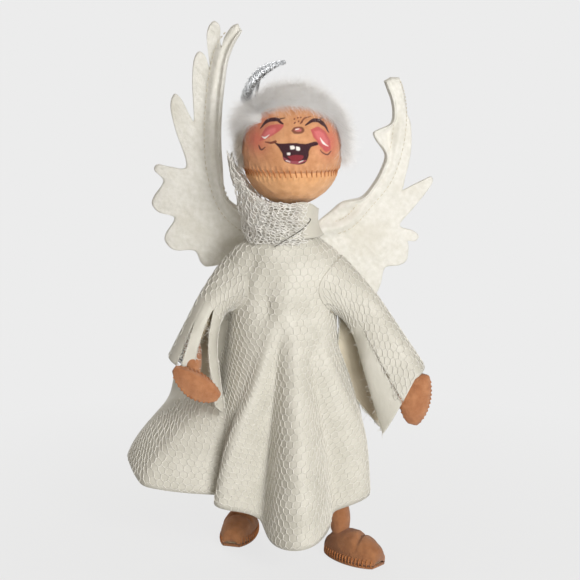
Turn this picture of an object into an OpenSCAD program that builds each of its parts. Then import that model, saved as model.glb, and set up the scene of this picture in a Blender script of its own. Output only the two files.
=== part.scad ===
// Angel doll: stuffed felt on a bendable wire armature, satin gown with a net
// overlay, felt wings, fleece wig and tinsel halo. Millimetres, Z up, front -Y.
// Left and right are the doll's own sides: left is +X.

/* [Placing] */
// Sideways shift that centres the whole doll over the origin
shift_x = 4.9; // [-10:0.1:10]
// Front to back shift that centres the whole doll over the origin
shift_y = 0.1; // [-10:0.1:10]

/* [Felt and wire] */
// Thickness of the felt
felt_t = 1.1; // [0.8:0.1:1.4]
// Radius of the armature wire
wire_r = 0.8; // [0.6:0.05:0.9]
// Radius of the thin wire in wings and halo
thin_r = 0.6; // [0.4:0.05:0.7]
// Gap around a wire in its felt, and between layers that touch
fit = 0.1; // [0.05:0.01:0.2]
// Radius of the middle line of a wire eye
eye_r = 2.0; // [1.8:0.1:2.4]

/* [Head] */
// Half width of the head
head_r = 18.4; // [16:0.1:20]
// Half height of the head
head_h = 20.6; // [18:0.1:23]
// Height of the middle of the head
head_z = 151; // [149:0.5:156]
// Drop of the overcast seam below the middle of the head
chin_seam_drop = 8.2; // [4:0.1:12]
// Radius of the hole for the neck under the head
neck_hole_r = 5.2; // [4.6:0.1:6]
// Thickness of the wig
hair_t = 3; // [2:0.1:3.6]
// Rise of the hairline over the middle of the head
hairline_rise = 5; // [1:0.5:9]
// Slope of the hairline, down towards the nape
hairline_tilt = 44; // [30:1:55]

/* [Halo] */
// Radius of the ring
halo_r = 9.4; // [8:0.1:10.5]
// Radius of the tinsel roll
halo_roll_r = 1.8; // [1.2:0.1:2.2]
// Tilt of the ring, the doll's left side up
halo_tilt = 44; // [35:1:50]
// Rise of the bent ring between its two ends
halo_bow = 3; // [0:0.1:4]
// Share by which the tinsel thins towards the ring's upper end
halo_taper = 0.55; // [0:0.05:0.6]

/* [Body] */
// Sideways place of the spine
spine_x = -1.5; // [-3:0.1:0]
// Height of the hip bar
hip_z = 71; // [69:0.5:73]
// Height of the shoulder bar
shoulder_z = 106; // [104:0.5:108]
// Half width between the hip eyes
hip_half = 9; // [7.5:0.1:10.5]
// Half width between the shoulder eyes
shoulder_half = 21.5; // [21:0.1:22.5]
// Largest radius of an arm
arm_r = 4.2; // [3.4:0.1:4.6]
// Largest radius of a leg
leg_r = 5; // [4:0.1:5.6]

/* [Feet] */
// Length of a foot
foot_len = 24; // [20:0.5:26]
// Width of a foot
foot_w = 14; // [11:0.5:15]
// Height of a foot at the instep
foot_h = 11.5; // [9:0.1:12]
// Thickness of the card insole
card_t = 0.8; // [0.5:0.1:1.2]
// Height of the ankle pivot
ankle_z = 16; // [15.6:0.1:17]

/* [Hands] */
// Length of a mitten
hand_len = 19; // [16:0.5:21]
// Width of a mitten
hand_w = 11.5; // [9:0.5:13]
// Thickness of a mitten
hand_t = 6.6; // [5.6:0.1:7]
// Length of a thumb
thumb_len = 9; // [7:0.1:10]
// Radius of a thumb
thumb_r = 2.3; // [1.8:0.1:2.6]

/* [Gown] */
// Thickness of the satin
satin_t = 0.7; // [0.5:0.05:0.9]
// Gap between the satin and the net
net_gap = 0.3; // [0.2:0.05:0.4]
// Thickness of the net layer
net_t = 0.35; // [0.25:0.05:0.45]
// Height of the hem in front
hem_z = 12; // [11:0.5:15]
// Rise of the hem at the sides and back
hem_rise = 10.5; // [4:0.5:12]
// Height of the neck edge
neck_z = 121.5; // [120.5:0.1:122.5]
// Depth of the folds at the hem
fold_depth = 6; // [2:0.1:6.5]
// Reach of the thrown-out back panel beyond the skirt
train_reach = 34; // [20:0.5:38]

/* [Sleeves] */
// Half depth of a sleeve at its mouth
sleeve_depth = 7; // [6:0.1:7.6]

/* [Collar] */
// Height of the bunched net collar in front
collar_h = 7.5; // [5:0.1:8.5]
// Number of gathers around the collar
collar_gathers = 11; // [7:1:15]
// Radius of the neck thread
thread_r = 0.3; // [0.2:0.05:0.4]

/* [Hidden] */
$fn = 48;
pin_reach = eye_r + 0.2;
felt_fit = wire_r + fit;
thin_fit = thin_r + fit;
cloth_step = 0.02;
bend_swell = 1.12;
eye_thin = 0.93;
bar_thin = 0.88;
tube_sides = 8;
ring_n = 16;
far = 120;
spine_top = shoulder_z + 11;
neck_pin_top = spine_top + 8.5;
neck_tube_r = wire_r + 1.1;
nod_drop = 15;
nod_z = head_z - nod_drop;
chin_seam_z = head_z - chin_seam_drop;
hairline_z = head_z + hairline_rise;
head_mid = [0.5, 1, head_z];
neck_mid = [0.5, 1];
neck_bend_z = spine_top + 2;
egg_lean = 0.05;
hip_l = [spine_x + hip_half, 0, hip_z - eye_r];
hip_r = [spine_x - hip_half, 0, hip_z - eye_r];
shoulder_l = [spine_x + shoulder_half, 0, shoulder_z];
shoulder_r = [spine_x - shoulder_half, 0, shoulder_z];
arm_l = shoulder_l - [0, pin_reach, 0];
arm_r_top = shoulder_r - [0, pin_reach, 0];
wrist_l = [45, -6, 69];
wrist_r = [-38.5, -9.5, 76];
ankle_l = [19, -9, ankle_z];
ankle_r = [-17.5, 17, ankle_z];
toe_turn_l = -42;
toe_turn_r = -106;
hand_mid_l = [47, -9, 60];
hand_mid_r = [-33.5, -23, 69];
wing_hinge_x = 4.5;
wing_hinge_y = 15.8;
wing_hinge_z = 116;

function unit(v) = v / norm(v);
function bell(x, w) = exp(-x * x / (w * w));
function turned(a) = a > 180 ? turned(a - 360) : a < -180 ? turned(a + 360) : a;
function smooth(x) = let (t = min(1, max(0, x))) t * t * (3 - 2 * t);
// Value of a list read at a fraction of its length
function along(list, s) =
  let (p = min(1, max(0, s)) * (len(list) - 1), i = min(len(list) - 2, floor(p)), f = p - i)
  list[i] * (1 - f) + list[i + 1] * f;

// Point of a smooth curve through a list, at a fraction of its length
function curve(list, s) =
  let (
    n = len(list) - 1,
    p = min(1, max(0, s)) * n,
    i = min(n - 1, floor(p)),
    f = p - i,
    b = list[i],
    c = list[i + 1],
    a = i > 0 ? list[i - 1] : 2 * b - c,
    d = i < n - 1 ? list[i + 2] : 2 * c - b)
  (2 * b + (c - a) * f + (2 * a - 5 * b + 4 * c - d) * f * f + (3 * b - 3 * c + d - a) * f * f * f) / 2;

module place() {
  translate([shift_x, shift_y, 0]) children();
}

// Straight round rod from a to b
module rod(a, b, r) {
  d = b - a;
  translate(a)
    rotate([0, acos(d[2] / norm(d)), atan2(d[1], d[0])])
      cylinder(h = norm(d), r = r);
}

// Bent wire through a list of points
module wire(points, r) {
  for (i = [0 : len(points) - 2])
    rod(points[i], points[i + 1], r);
  for (i = [1 : 1 : len(points) - 2])
    translate(points[i]) sphere(r * bend_swell);
}

// Thin bent wire of a wing or the halo, skinned over rings along its path
module thin_tube(points, r) {
  n = len(points);
  function ahead(i) = unit(points[min(n - 1, i + 1)] - points[max(0, i - 1)]);
  loft([for (i = [0 : n - 1])
    let (t = ahead(i), up = unit([0, 1, 0] - t * t[1]), side = cross(up, t))
    [for (k = [0 : tube_sides - 1]) let (a = 360 * k / tube_sides)
      points[i] + r * (cos(a) * side + sin(a) * up)]]);
}

// Wire eye about a hinge axis lying at an angle in the ground plane, or upright
module eye(at, turn, upright = false, r = wire_r) {
  translate(at)
    rotate([0, 0, turn])
      rotate([0, upright ? 0 : 90, 0])
        rotate_extrude()
          translate([eye_r, 0]) circle(r * eye_thin);
}

// Pin through an eye, with the wire leaving from its end
module hook(at, axis, points, r = wire_r) {
  rod(at - pin_reach * axis, at + pin_reach * axis, r);
  translate(at + pin_reach * axis) sphere(r * bend_swell);
  wire(concat([at + pin_reach * axis], points), r);
}

// Stuffed felt limb around a wire, swelling and tapering from a to b
module limb(a, b, r, swell, tip, bore) {
  d = b - a;
  h = norm(d);
  n = 14;
  profile = [for (i = [0 : n]) let (t = i / n)
    [max(bore + 0.6, (r + (tip - r) * t + swell * sin(180 * t)) * pow(sin(8 + 164 * t), 0.25)), h * t]];
  translate(a)
    rotate([0, acos(d[2] / h), atan2(d[1], d[0])])
      difference() {
        rotate_extrude() polygon(concat([[0, 0]], profile, [[0, h]]));
        translate([0, 0, -1]) cylinder(h = h + 2, r = bore);
      }
}

// Closed thin body between an outer and an inner grid of points, without the open cells
module shell(outer, inner, wrap = false, flip = false, open = function(j, i) false) {
  rows = len(outer);
  n = len(outer[0]);
  cells = wrap ? n : n - 1;
  half = rows * n;
  function at(j, i) = j * n + (i + n) % n;
  function kept(j, i) =
    j >= 0 && j < rows - 1 && (wrap || (i >= 0 && i < cells)) && !open(j, (i + cells) % cells);
  function wall(p, q) = [[q, p, p + half], [q, p + half, q + half]];
  faces = [for (j = [0 : rows - 2], i = [0 : cells - 1]) if (kept(j, i))
    let (a = at(j, i), b = at(j, i + 1), c = at(j + 1, i + 1), d = at(j + 1, i))
    each concat(
      [[a, b, c], [a, c, d]],
      [[c + half, b + half, a + half], [d + half, c + half, a + half]],
      kept(j - 1, i) ? [] : wall(a, b),
      kept(j, i + 1) ? [] : wall(b, c),
      kept(j + 1, i) ? [] : wall(c, d),
      kept(j, i - 1) ? [] : wall(d, a))];
  used = [for (f = faces) flip ? [f[2], f[1], f[0]] : f];
  polyhedron(points = concat([for (r = outer) each r], [for (r = inner) each r]), faces = used);
}

// Solid skinned over a row of rings, closed at both ends
module loft(rings) {
  m = len(rings);
  n = len(rings[0]);
  function mid(r) = [for (k = [0 : 2]) [for (p = r) 1] * [for (p = r) p[k]] / len(r)];
  function at(j, i) = j * n + i % n;
  sides = [for (j = [0 : m - 2], i = [0 : n - 1])
    each [[at(j, i), at(j + 1, i), at(j + 1, i + 1)], [at(j, i), at(j + 1, i + 1), at(j, i + 1)]]];
  caps = [for (i = [0 : n - 1])
    each [[m * n, at(0, i), at(0, i + 1)], [m * n + 1, at(m - 1, i + 1), at(m - 1, i)]]];
  polyhedron(
    points = concat([for (r = rings) each r], [mid(rings[0]), mid(rings[m - 1])]),
    faces = concat(sides, caps));
}

// Closed hoop skinned over rings that follow each other round a loop
module hoop(rings) {
  m = len(rings);
  n = len(rings[0]);
  function at(j, i) = (j % m) * n + i % n;
  polyhedron(
    points = [for (r = rings) each r],
    faces = [for (j = [0 : m - 1], i = [0 : n - 1])
      each [[at(j, i), at(j, i + 1), at(j + 1, i + 1)], [at(j, i), at(j + 1, i + 1), at(j + 1, i)]]]);
}

// Grid of a cloth surface, raised by d along its own normal
function cloth(at, us, vs, d, side = 1) =
  [for (v = vs) [for (u = us)
    let (
      du = at(u + 1, v) - at(u - 1, v),
      dv = at(u, min(1, v + cloth_step)) - at(u, max(0, v - cloth_step)))
    at(u, v) + d * side * unit(cross(dv, du))]];

// Body and armature

module torso() {
  color("tan") place()
    difference() {
      translate([spine_x, 0, 0])
        rotate_extrude()
          polygon([[0, hip_z + 5], [8.5, hip_z + 5.5], [12, hip_z + 11], [11, hip_z + 20],
            [12, shoulder_z - 4], [10.5, shoulder_z + 4], [6, shoulder_z + 9], [0, shoulder_z + 10]]);
      translate([spine_x, 0, 0]) cylinder(h = far * 2, r = felt_fit);
      rod([spine_x - far, 0, shoulder_z], [spine_x + far, 0, shoulder_z], felt_fit);
    }
}

module spine_wire() {
  color("silver") place() {
    translate([spine_x, 0, hip_z]) sphere(wire_r * bend_swell);
    wire([[spine_x, 0, hip_z], [spine_x, 0, spine_top], [neck_mid[0], neck_mid[1], neck_bend_z],
      [neck_mid[0], neck_mid[1], neck_pin_top]], wire_r);
    rod(shoulder_r + [eye_r, 0, 0], shoulder_l - [eye_r, 0, 0], wire_r * bar_thin);
    rod([hip_r[0], 0, hip_z], [hip_l[0], 0, hip_z], wire_r * bar_thin);
    eye(shoulder_l, 90);
    eye(shoulder_r, 90);
    eye(hip_l, 0);
    eye(hip_r, 0);
  }
}

module neck_wire() {
  color("silver") place() {
    difference() {
      translate([neck_mid[0], neck_mid[1], neck_bend_z + 1.5])
        cylinder(h = nod_z - eye_r - neck_bend_z - 1.5, r = neck_tube_r);
      translate([neck_mid[0], neck_mid[1], 0]) cylinder(h = neck_pin_top + 0.5, r = felt_fit);
    }
    eye([neck_mid[0], neck_mid[1], nod_z], 0);
  }
}

// Head

module egg(grow) {
  n = 28;
  rx = head_r + grow;
  rz = head_h + grow;
  translate(head_mid)
    rotate_extrude()
      polygon([for (i = [0 : n]) let (a = -90 + 180 * i / n)
        [rx * cos(a) * (1 - egg_lean * sin(a)), rz * sin(a)]]);
}

module neck_hole(top) {
  translate([neck_mid[0], neck_mid[1], 0]) cylinder(h = top, r = neck_hole_r);
}

module head_skin() {
  difference() {
    egg(0);
    egg(-felt_t);
    neck_hole(head_z);
    halo_bore();
  }
}

module head_wire() {
  color("silver") place()
    hook([neck_mid[0], neck_mid[1], nod_z], [1, 0, 0],
      [[neck_mid[0] + pin_reach, neck_mid[1], head_z + 8]]);
}

module head_stuffing() {
  color("ivory") place()
    difference() {
      egg(-felt_t - fit);
      neck_hole(nod_z + eye_r + wire_r + 0.6);
      rod([neck_mid[0] + pin_reach, neck_mid[1], nod_z],
        [neck_mid[0] + pin_reach, neck_mid[1], head_z + 8.2], felt_fit);
      halo_bore();
    }
}

side_seam_y = head_mid[1] + 2;

module face_panel() {
  color("sandybrown") place()
    intersection() {
      head_skin();
      translate([-far / 2, side_seam_y - far, chin_seam_z]) cube([far, far, far]);
    }
}

module chin_gusset() {
  color("peru") place()
    intersection() {
      head_skin();
      translate([-far / 2, side_seam_y - far, chin_seam_z - fit - far]) cube([far, far, far]);
    }
}

module head_back() {
  color("burlywood") place()
    intersection() {
      head_skin();
      translate([-far / 2, side_seam_y + fit, head_z - far / 2]) cube([far, far, far]);
    }
}

module hair() {
  color("whitesmoke") place()
    difference() {
      intersection() {
        egg(hair_t);
        translate([0, head_mid[1], hairline_z])
          rotate([-hairline_tilt, 0, 0])
            translate([-far / 2, -far / 2, 0]) cube([far, far, far]);
      }
      egg(fit);
      halo_bore();
    }
}

// Halo on its bent wire

halo_mid = [-10, 4.5, head_z + head_h + 4.2];
halo_hinge = [-10.5, 20, head_z + 16.5];
halo_root = [-4, 10, head_z + 8];

module halo_bore() {
  rod(halo_root, halo_hinge, thin_fit);
}

module halo_socket() {
  color("silver") place() {
    rod(halo_root + unit(halo_hinge - halo_root) * 0.5,
      halo_hinge - unit(halo_hinge - halo_root) * eye_r, thin_r);
    eye(halo_hinge, 0, false, thin_r);
  }
}

halo_rise = 0.6;
halo_steps = 32;
halo_back = halo_mid + [-sin(halo_tilt) * halo_rise * halo_bow, halo_r + halo_roll_r - 0.6,
  cos(halo_tilt) * halo_rise * halo_bow];

module halo_wire() {
  color("silver") place()
    thin_tube([halo_hinge + [pin_reach, 0, 0], halo_hinge - [pin_reach - thin_r, 0, 0],
      halo_hinge - [pin_reach + thin_r / 3, 0, -thin_r], halo_back + [0, 1.5, -1],
      halo_back + [0, -0.2, 0]], thin_r);
}

// Ring of tinsel, bent out of its plane and thinner towards its upper end
function halo_ring(a) =
  let (r = halo_roll_r * (1 - halo_taper * smooth((cos(a) - 0.2) / 0.8)))
  [for (k = [0 : tube_sides - 1])
    let (b = 360 * k / tube_sides, reach = halo_r + r * cos(b))
    [reach * cos(a), reach * sin(a), r * sin(b) + halo_bow * (halo_rise - cos(a) * cos(a))]];

module halo() {
  color("gainsboro") place()
    difference() {
      translate(halo_mid)
        rotate([0, -halo_tilt, 0])
          hoop([for (i = [0 : halo_steps - 1]) halo_ring(-360 * i / halo_steps)]);
      rod(halo_back + [0, 1.5, -1], halo_back + [0, -0.4, 0], thin_fit);
    }
}

// Arms and hands

function toward(a, b, d) = a + unit(b - a) * d;

module arm_wire(shoulder, wrist) {
  color("silver") place() {
    hook(shoulder, [0, -1, 0], [toward(wrist, shoulder - [0, pin_reach, 0], eye_r)]);
    eye(wrist, 90);
  }
}

module arm(top, wrist) {
  color("tan") place()
    limb(toward(top, wrist, 4.5), toward(wrist, top, 4.2), arm_r - 0.4, 0.4, arm_r - 1, felt_fit);
}

// Rounded mitten with its thumb, long side along X, thickness along Y
function mitten_ring(t, shift, lean) =
  let (
    round_off = pow(max(0.02, sin(180 * (0.04 + 0.92 * t))), 0.5),
    w = hand_w / 2 * round_off * (0.82 + 0.25 * sin(150 * t)),
    h = hand_t / 2 * round_off)
  [for (k = [0 : ring_n - 1]) let (a = 360 * k / ring_n)
    [hand_len * (t - 0.5), h * cos(a), w * sin(a) + shift - lean * sin(180 * t)]];

module mitten(lean, thumb_side) {
  n = 12;
  loft([for (j = [0 : 10]) mitten_ring(j / 10, 0, lean)]);
  translate([-thumb_len * 0.3, 0, thumb_side * hand_w * 0.3])
    rotate([0, thumb_side > 0 ? 48 : 132, 0])
      rotate_extrude()
        polygon([for (i = [0 : n]) let (a = -90 + 180 * i / n)
          [thumb_r * cos(a), thumb_len / 2 * (1 + sin(a))]]);
}

function hand_pitch(side) = side > 0 ? 104 : 33;

module hand_at(mid, pitch, side) {
  translate(mid)
    rotate([0, pitch, side > 0 ? 8 : 0])
      mitten(side > 0 ? 1.4 : -1.2, side > 0 ? -1 : 1);
}

module hand(mid, wrist, side) {
  color("peru") place()
    difference() {
      hand_at(mid, hand_pitch(side), side);
      rod(wrist - [0, pin_reach, 0], toward(mid, wrist - [0, pin_reach, 0], -0.2), felt_fit);
    }
}

module hand_wire(mid, wrist) {
  color("silver") place()
    hook(wrist, [0, -1, 0], [mid]);
}

module left_arm() { arm(arm_l, wrist_l); }
module left_arm_wire() { arm_wire(shoulder_l, wrist_l); }
module left_hand() { hand(hand_mid_l, wrist_l, 1); }
module left_hand_wire() { hand_wire(hand_mid_l, wrist_l); }
module right_arm() { arm(arm_r_top, wrist_r); }
module right_arm_wire() { arm_wire(shoulder_r, wrist_r); }
module right_hand() { hand(hand_mid_r, wrist_r, -1); }
module right_hand_wire() { hand_wire(hand_mid_r, wrist_r); }

// Legs and feet

function leg_top(hip, side) = hip + [side * pin_reach, 0, 0];
function toe_axis(turn) = [-sin(turn), cos(turn), 0];

module leg_wire(hip, ankle, side, turn) {
  color("silver") place() {
    hook(hip, [side, 0, 0], [toward(ankle, leg_top(hip, side), eye_r)]);
    eye(ankle, turn + 90);
  }
}

module leg(hip, ankle, side) {
  color("peru") place()
    limb(toward(leg_top(hip, side), ankle, 4.5), toward(ankle, leg_top(hip, side), 4.4),
      leg_r - 0.4, 0.4, leg_r - 1.6, felt_fit);
}

heel = 6;
sole_t = felt_t;
upper_z = sole_t + card_t + 2 * fit;

function foot_half(t) = foot_w / 2 * pow(sin(180 * (0.06 + 0.88 * t)), 0.45) * (0.8 + 0.2 * t);

module foot_outline(inset) {
  n = 24;
  function edge(t, s) = [-heel + inset + (foot_len - 2 * inset) * t, s * (foot_half(t) - inset)];
  polygon(concat([for (i = [0 : n]) edge(i / n, -1)], [for (i = [0 : n]) edge(1 - i / n, 1)]));
}

// Stuffed upper: rings from heel to toe, flat below, rounded above
module foot_upper() {
  n = 12;
  loft([for (j = [0 : n])
    let (
      t = j / n,
      x = -heel + foot_len * t,
      top = (foot_h - upper_z) * pow(sin(180 * (0.07 + 0.86 * t)), 0.5) * (1 - 0.12 * bell(t - 0.62, 0.08)))
    [for (k = [0 : ring_n - 1]) let (a = 360 * k / ring_n)
      [x, foot_half(t) * cos(a), upper_z + (sin(a) > 0 ? top * pow(sin(a), 0.8) : 0.01 * sin(a) + 0.01)]]]);
}

module at_foot(ankle, turn) {
  translate([ankle[0], ankle[1], 0]) rotate([0, 0, turn]) children();
}

module foot(ankle, turn) {
  axis = toe_axis(turn);
  top = ankle + pin_reach * axis;
  color("peru") place()
    difference() {
      at_foot(ankle, turn) foot_upper();
      rod([top[0], top[1], upper_z + 0.8], top, felt_fit);
    }
}

module sole(ankle, turn) {
  color("saddlebrown") place()
    at_foot(ankle, turn) linear_extrude(sole_t) foot_outline(0);
}

module insole(ankle, turn) {
  color("wheat") place()
    at_foot(ankle, turn)
      translate([0, 0, sole_t + fit]) linear_extrude(card_t) foot_outline(1);
}

module foot_wire(ankle, turn) {
  axis = toe_axis(turn);
  top = ankle + pin_reach * axis;
  color("silver") place()
    hook(ankle, axis, [[top[0], top[1], upper_z + 1.2]]);
}

module left_leg() { leg(hip_l, ankle_l, 1); }
module left_leg_wire() { leg_wire(hip_l, ankle_l, 1, toe_turn_l); }
module left_foot() { foot(ankle_l, toe_turn_l); }
module left_sole() { sole(ankle_l, toe_turn_l); }
module left_insole() { insole(ankle_l, toe_turn_l); }
module left_foot_wire() { foot_wire(ankle_l, toe_turn_l); }
module right_leg() { leg(hip_r, ankle_r, -1); }
module right_leg_wire() { leg_wire(hip_r, ankle_r, -1, toe_turn_r); }
module right_foot() { foot(ankle_r, toe_turn_r); }
module right_sole() { sole(ankle_r, toe_turn_r); }
module right_insole() { insole(ankle_r, toe_turn_r); }
module right_foot_wire() { foot_wire(ankle_r, toe_turn_r); }

// Gown: rings of [height, reach right, reach left, reach front, reach back]

gown_x = -2;
gown_rings = [
  [neck_z, 9.5, 9.5, 9.5, 9.5],
  [neck_z - 3.5, 12, 12.5, 10.8, 11],
  [neck_z - 8, 18, 18.5, 12.4, 12.4],
  [neck_z - 13, 20.8, 20.8, 14, 13],
  [100, 18.4, 19.3, 15.4, 14],
  [90, 18.4, 19, 17, 15.5],
  [78, 19.2, 20, 19, 18],
  [60, 24, 22.3, 22, 22],
  [40, 28, 24.5, 26, 27],
  [hem_z, 28.5, 26, 30, 32]];
// The train: a plain swell above, and at the hem an end face, a front face and a rounded back
train_at = 172;
train_above_at = 157;
train_above_w = 12.5;
train_end_w = 24;
train_front_w = 16;
train_back_w = 17;
train_end_share = 0.8;
train_crease_from = 0.79;
train_lift = 5;
gather_at = 278;
gather_w = 44;
skirt_from = 0.42;
// Folds as [angle, width, share of the fold depth, share by which it runs to the gather in front]
gown_folds = [[289, 15, 1.1, 1], [258, 13, -1.05, 1], [229, 13, 0.8, 1], [318, 11, -0.45, 1],
  [343, 12, 0.5, 1], [20, 14, -0.5, 0], [52, 13, 0.7, 0], [82, 12, -0.7, 0], [108, 12, 0.8, 0],
  [133, 9, 0.9, 0]];

function fold_at(f, u, v) =
  let (near = f[3] * min(0.8, 2 * (1 - v)), mid = f[0] + (gather_at - f[0]) * near)
  f[2] * bell(turned(u - mid), f[1] * (1 - 0.5 * near));

// Share of the train's reach at an angle, creased into its faces towards the hem
function train_share(u, v) =
  let (
    d = turned(u - train_at),
    end = 1 - (1 - train_end_share) * d / train_end_w,
    front = train_end_share * (1 - (d - train_end_w) / train_front_w),
    above = bell(turned(u - train_above_at), train_above_w),
    low = d < 0 ? bell(d, train_back_w) : max(0, min(end, front)))
  above + (low - above) * smooth((v - train_crease_from) / (1 - train_crease_from));

function gown_radius(u, v) =
  let (
    g = along(gown_rings, v),
    a = cos(u) > 0 ? g[1] : g[2],
    b = sin(u) < 0 ? g[3] : g[4],
    down = max(0, v - skirt_from) / (1 - skirt_from),
    grown = smooth(down),
    folds = [for (f = gown_folds) fold_at(f, u, v)],
    train = train_reach * pow(down, 1.2) * train_share(u, v))
  1 / sqrt(pow(cos(u) / a, 2) + pow(sin(u) / b, 2))
    + fold_depth * grown * (folds * [for (f = folds) 1]) + train;

function gown_at(u, v) =
  let (
    g = along(gown_rings, v),
    r = gown_radius(u, v),
    lift = smooth((v - 0.6) / 0.4) * (hem_rise * (1 - bell(turned(u - gather_at), gather_w))
      + train_lift * bell(turned(u - train_at), train_end_w)))
  [gown_x + r * cos(u), r * sin(u), g[0] + lift];

gown_us = concat([for (a = [0 : 12 : 120]) a], [130, 139, 147, 154, 160, 166, 172, 178, 184, 190, 195],
  [199, 203, 207, 211, 216], [for (a = [224 : 8 : 352]) a]);
gown_vs = [for (j = [0 : 13]) j / 13];
arm_hole_rows = [4, 6];
arm_hole_half = 30;
gown_open = function(j, i)
  let (u = gown_us[i], w = gown_us[(i + 1) % len(gown_us)], mid = u + turned(w - u) / 2)
  j >= arm_hole_rows[0] && j <= arm_hole_rows[1]
    && (abs(turned(mid)) < arm_hole_half || abs(turned(mid - 180)) < arm_hole_half);

module gown_layer(low, high) {
  at = function(u, v) gown_at(u, v);
  shell(cloth(at, gown_us, gown_vs, high), cloth(at, gown_us, gown_vs, low), true, false, gown_open);
}

module gown() {
  color("ivory") place() gown_layer(0, satin_t);
}

module gown_net() {
  color("whitesmoke") place() gown_layer(satin_t + net_gap, satin_t + net_gap + net_t);
}

// Collar of bunched net, and the thread that gathers the neck

collar_us = [for (i = [0 : 43]) i * 360 / 44];
collar_vs = [for (j = [0 : 5]) j / 5];

function collar_at(u, v) =
  let (
    rise = 1 - v,
    side = bell(turned(u - 165), 60),
    r = 9.4 + (2.6 + 4 * side) * rise + 0.55 * sin(180 * rise) * sin(collar_gathers * u) )
  [neck_mid[0] - 1.8 * v - 0.6 + r * cos(u), r * sin(u) + 0.5 * rise,
    neck_z + 1.2 + (collar_h + 5.2 * side - 1.5) * rise + 0.5 * rise * cos(2 * collar_gathers * u)];

module net_collar() {
  at = function(u, v) collar_at(u, v);
  color("whitesmoke") place()
    shell(cloth(at, collar_us, collar_vs, net_t + 0.1), cloth(at, collar_us, collar_vs, 0), true);
}

module neck_thread() {
  color("dimgray") place()
    translate([gown_x, 0, neck_z + 0.75])
      rotate_extrude()
        translate([9.5 + satin_t + net_gap + net_t + thread_r + fit, 0]) circle(thread_r);
}

// Sleeves: a snug half round over the arm, a hanging bell below it

sleeve_us = [for (i = [0 : 21]) i * 360 / 22 - 180];
sleeve_from = 0.03;
sleeve_vs = [for (j = [0 : 6]) sleeve_from + (1 - sleeve_from) * j / 6];
sleeve_snug = arm_r + 2 * fit + 0.2;
sleeve_low_l = [[20.5, -2.5, 96], [26.8, -5, 73], [34, -7.5, 48.5]];
sleeve_low_r = [[-20.6, -1.5, 101], [-27, -7.5, 82], [-24.2, -16, 57]];

function sleeve_at(top, wrist, low, u, v) =
  let (
    mid = top + (wrist - top) * v,
    dir = unit(wrist - top),
    up = unit(cross(dir, [0, 1, 0])) * (dir[0] > 0 ? -1 : 1),
    lift = up[2] > 0 ? up : -up,
    depth = sleeve_snug + 0.6 + (sleeve_depth - sleeve_snug) * v,
    hang = along(low, (v - sleeve_from) / (1 - sleeve_from)) - mid)
  mid + [0, depth * sin(u), 0]
    + (cos(u) > 0 ? lift * sleeve_snug * cos(u) : -hang * cos(u));

module sleeve_layer(top, wrist, low, from, to, right, open = function(j, i) false) {
  at = function(u, v) sleeve_at(top, wrist, low, u, v);
  side = right ? -1 : 1;
  shell(cloth(at, sleeve_us, sleeve_vs, to, side), cloth(at, sleeve_us, sleeve_vs, from, side),
    true, right, open);
}

// The right sleeve is slit open in front
slit_open = function(j, i)
  j >= 2 && sleeve_us[i] >= -132 && sleeve_us[i] < -114;

module left_sleeve() {
  color("ivory") place() sleeve_layer(arm_l, wrist_l, sleeve_low_l, 0, satin_t, false);
}

module left_sleeve_net() {
  color("whitesmoke") place()
    sleeve_layer(arm_l, wrist_l, sleeve_low_l, satin_t + net_gap, satin_t + net_gap + net_t, false);
}

module right_sleeve() {
  color("ivory") place()
    sleeve_layer(arm_r_top, wrist_r, sleeve_low_r, 0, satin_t, true, slit_open);
}

module right_sleeve_net() {
  color("whitesmoke") place()
    sleeve_layer(arm_r_top, wrist_r, sleeve_low_r, satin_t + net_gap, satin_t + net_gap + net_t,
      true, slit_open);
}

// Wings: two felt layers sewn together around a wire, cut into feather fingers.
// Places in the plane of the wing are [across, height], on its edges with a third value, the
// fraction of the spine from which a straight line runs to that place.

left_spine = [[9, 118.5], [20.8, 121.3], [28.4, 129], [35.9, 138.6], [39.7, 150], [40.8, 161.6],
  [39.7, 170], [37, 176]];
left_outer = [[10, 113, 0], [20, 104, 0.015], [29, 94.5, 0.03], [32.3, 92.6, 0.037], [34.7, 97.5, 0.044],
  [35.7, 102.6, 0.052], [37.2, 104.4, 0.058], [41.8, 104.8, 0.065], [44.7, 106.8, 0.072],
  [45.3, 112, 0.082], [45, 114, 0.088], [48, 114, 0.094], [49.2, 115.8, 0.1], [47, 118, 0.107],
  [41.8, 120.3, 0.118], [46.3, 126.2, 0.13], [51, 132, 0.14], [53.9, 136.4, 0.147], [53.4, 138.7, 0.152],
  [51.6, 138.1, 0.157], [48, 136.4, 0.167], [42.7, 133.9, 0.2], [42.9, 135.5, 0.27], [43.2, 137.5, 0.34],
  [43.7, 139.7, 0.41], [44.6, 143.5, 0.49], [45.3, 148, 0.565], [45.5, 153, 0.64], [45, 159, 0.72],
  [43.6, 162.5, 0.78], [42.7, 167.4, 0.85], [41.6, 173, 0.94], [40.2, 175.9, 1]];
left_inner = [[9, 121, 0], [15, 126, 0.077], [19, 129.5, 0.154], [22, 130.5, 0.231], [27, 131.7, 0.308],
  [31.2, 136.8, 0.385], [34, 142.2, 0.462], [35.2, 147.5, 0.538], [31.6, 153, 0.6], [30.7, 155.8, 0.635],
  [33.5, 157.2, 0.66], [37, 158.8, 0.69], [37.9, 162, 0.74], [37.3, 167, 0.84], [35.6, 171.5, 0.93],
  [34.4, 174.6, 1]];
right_spine = [[-10, 118.5], [-17.5, 121], [-24.5, 128], [-28.5, 140], [-29.5, 152], [-29, 164],
  [-27.5, 176], [-24.5, 187], [-18.4, 194]];
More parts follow.
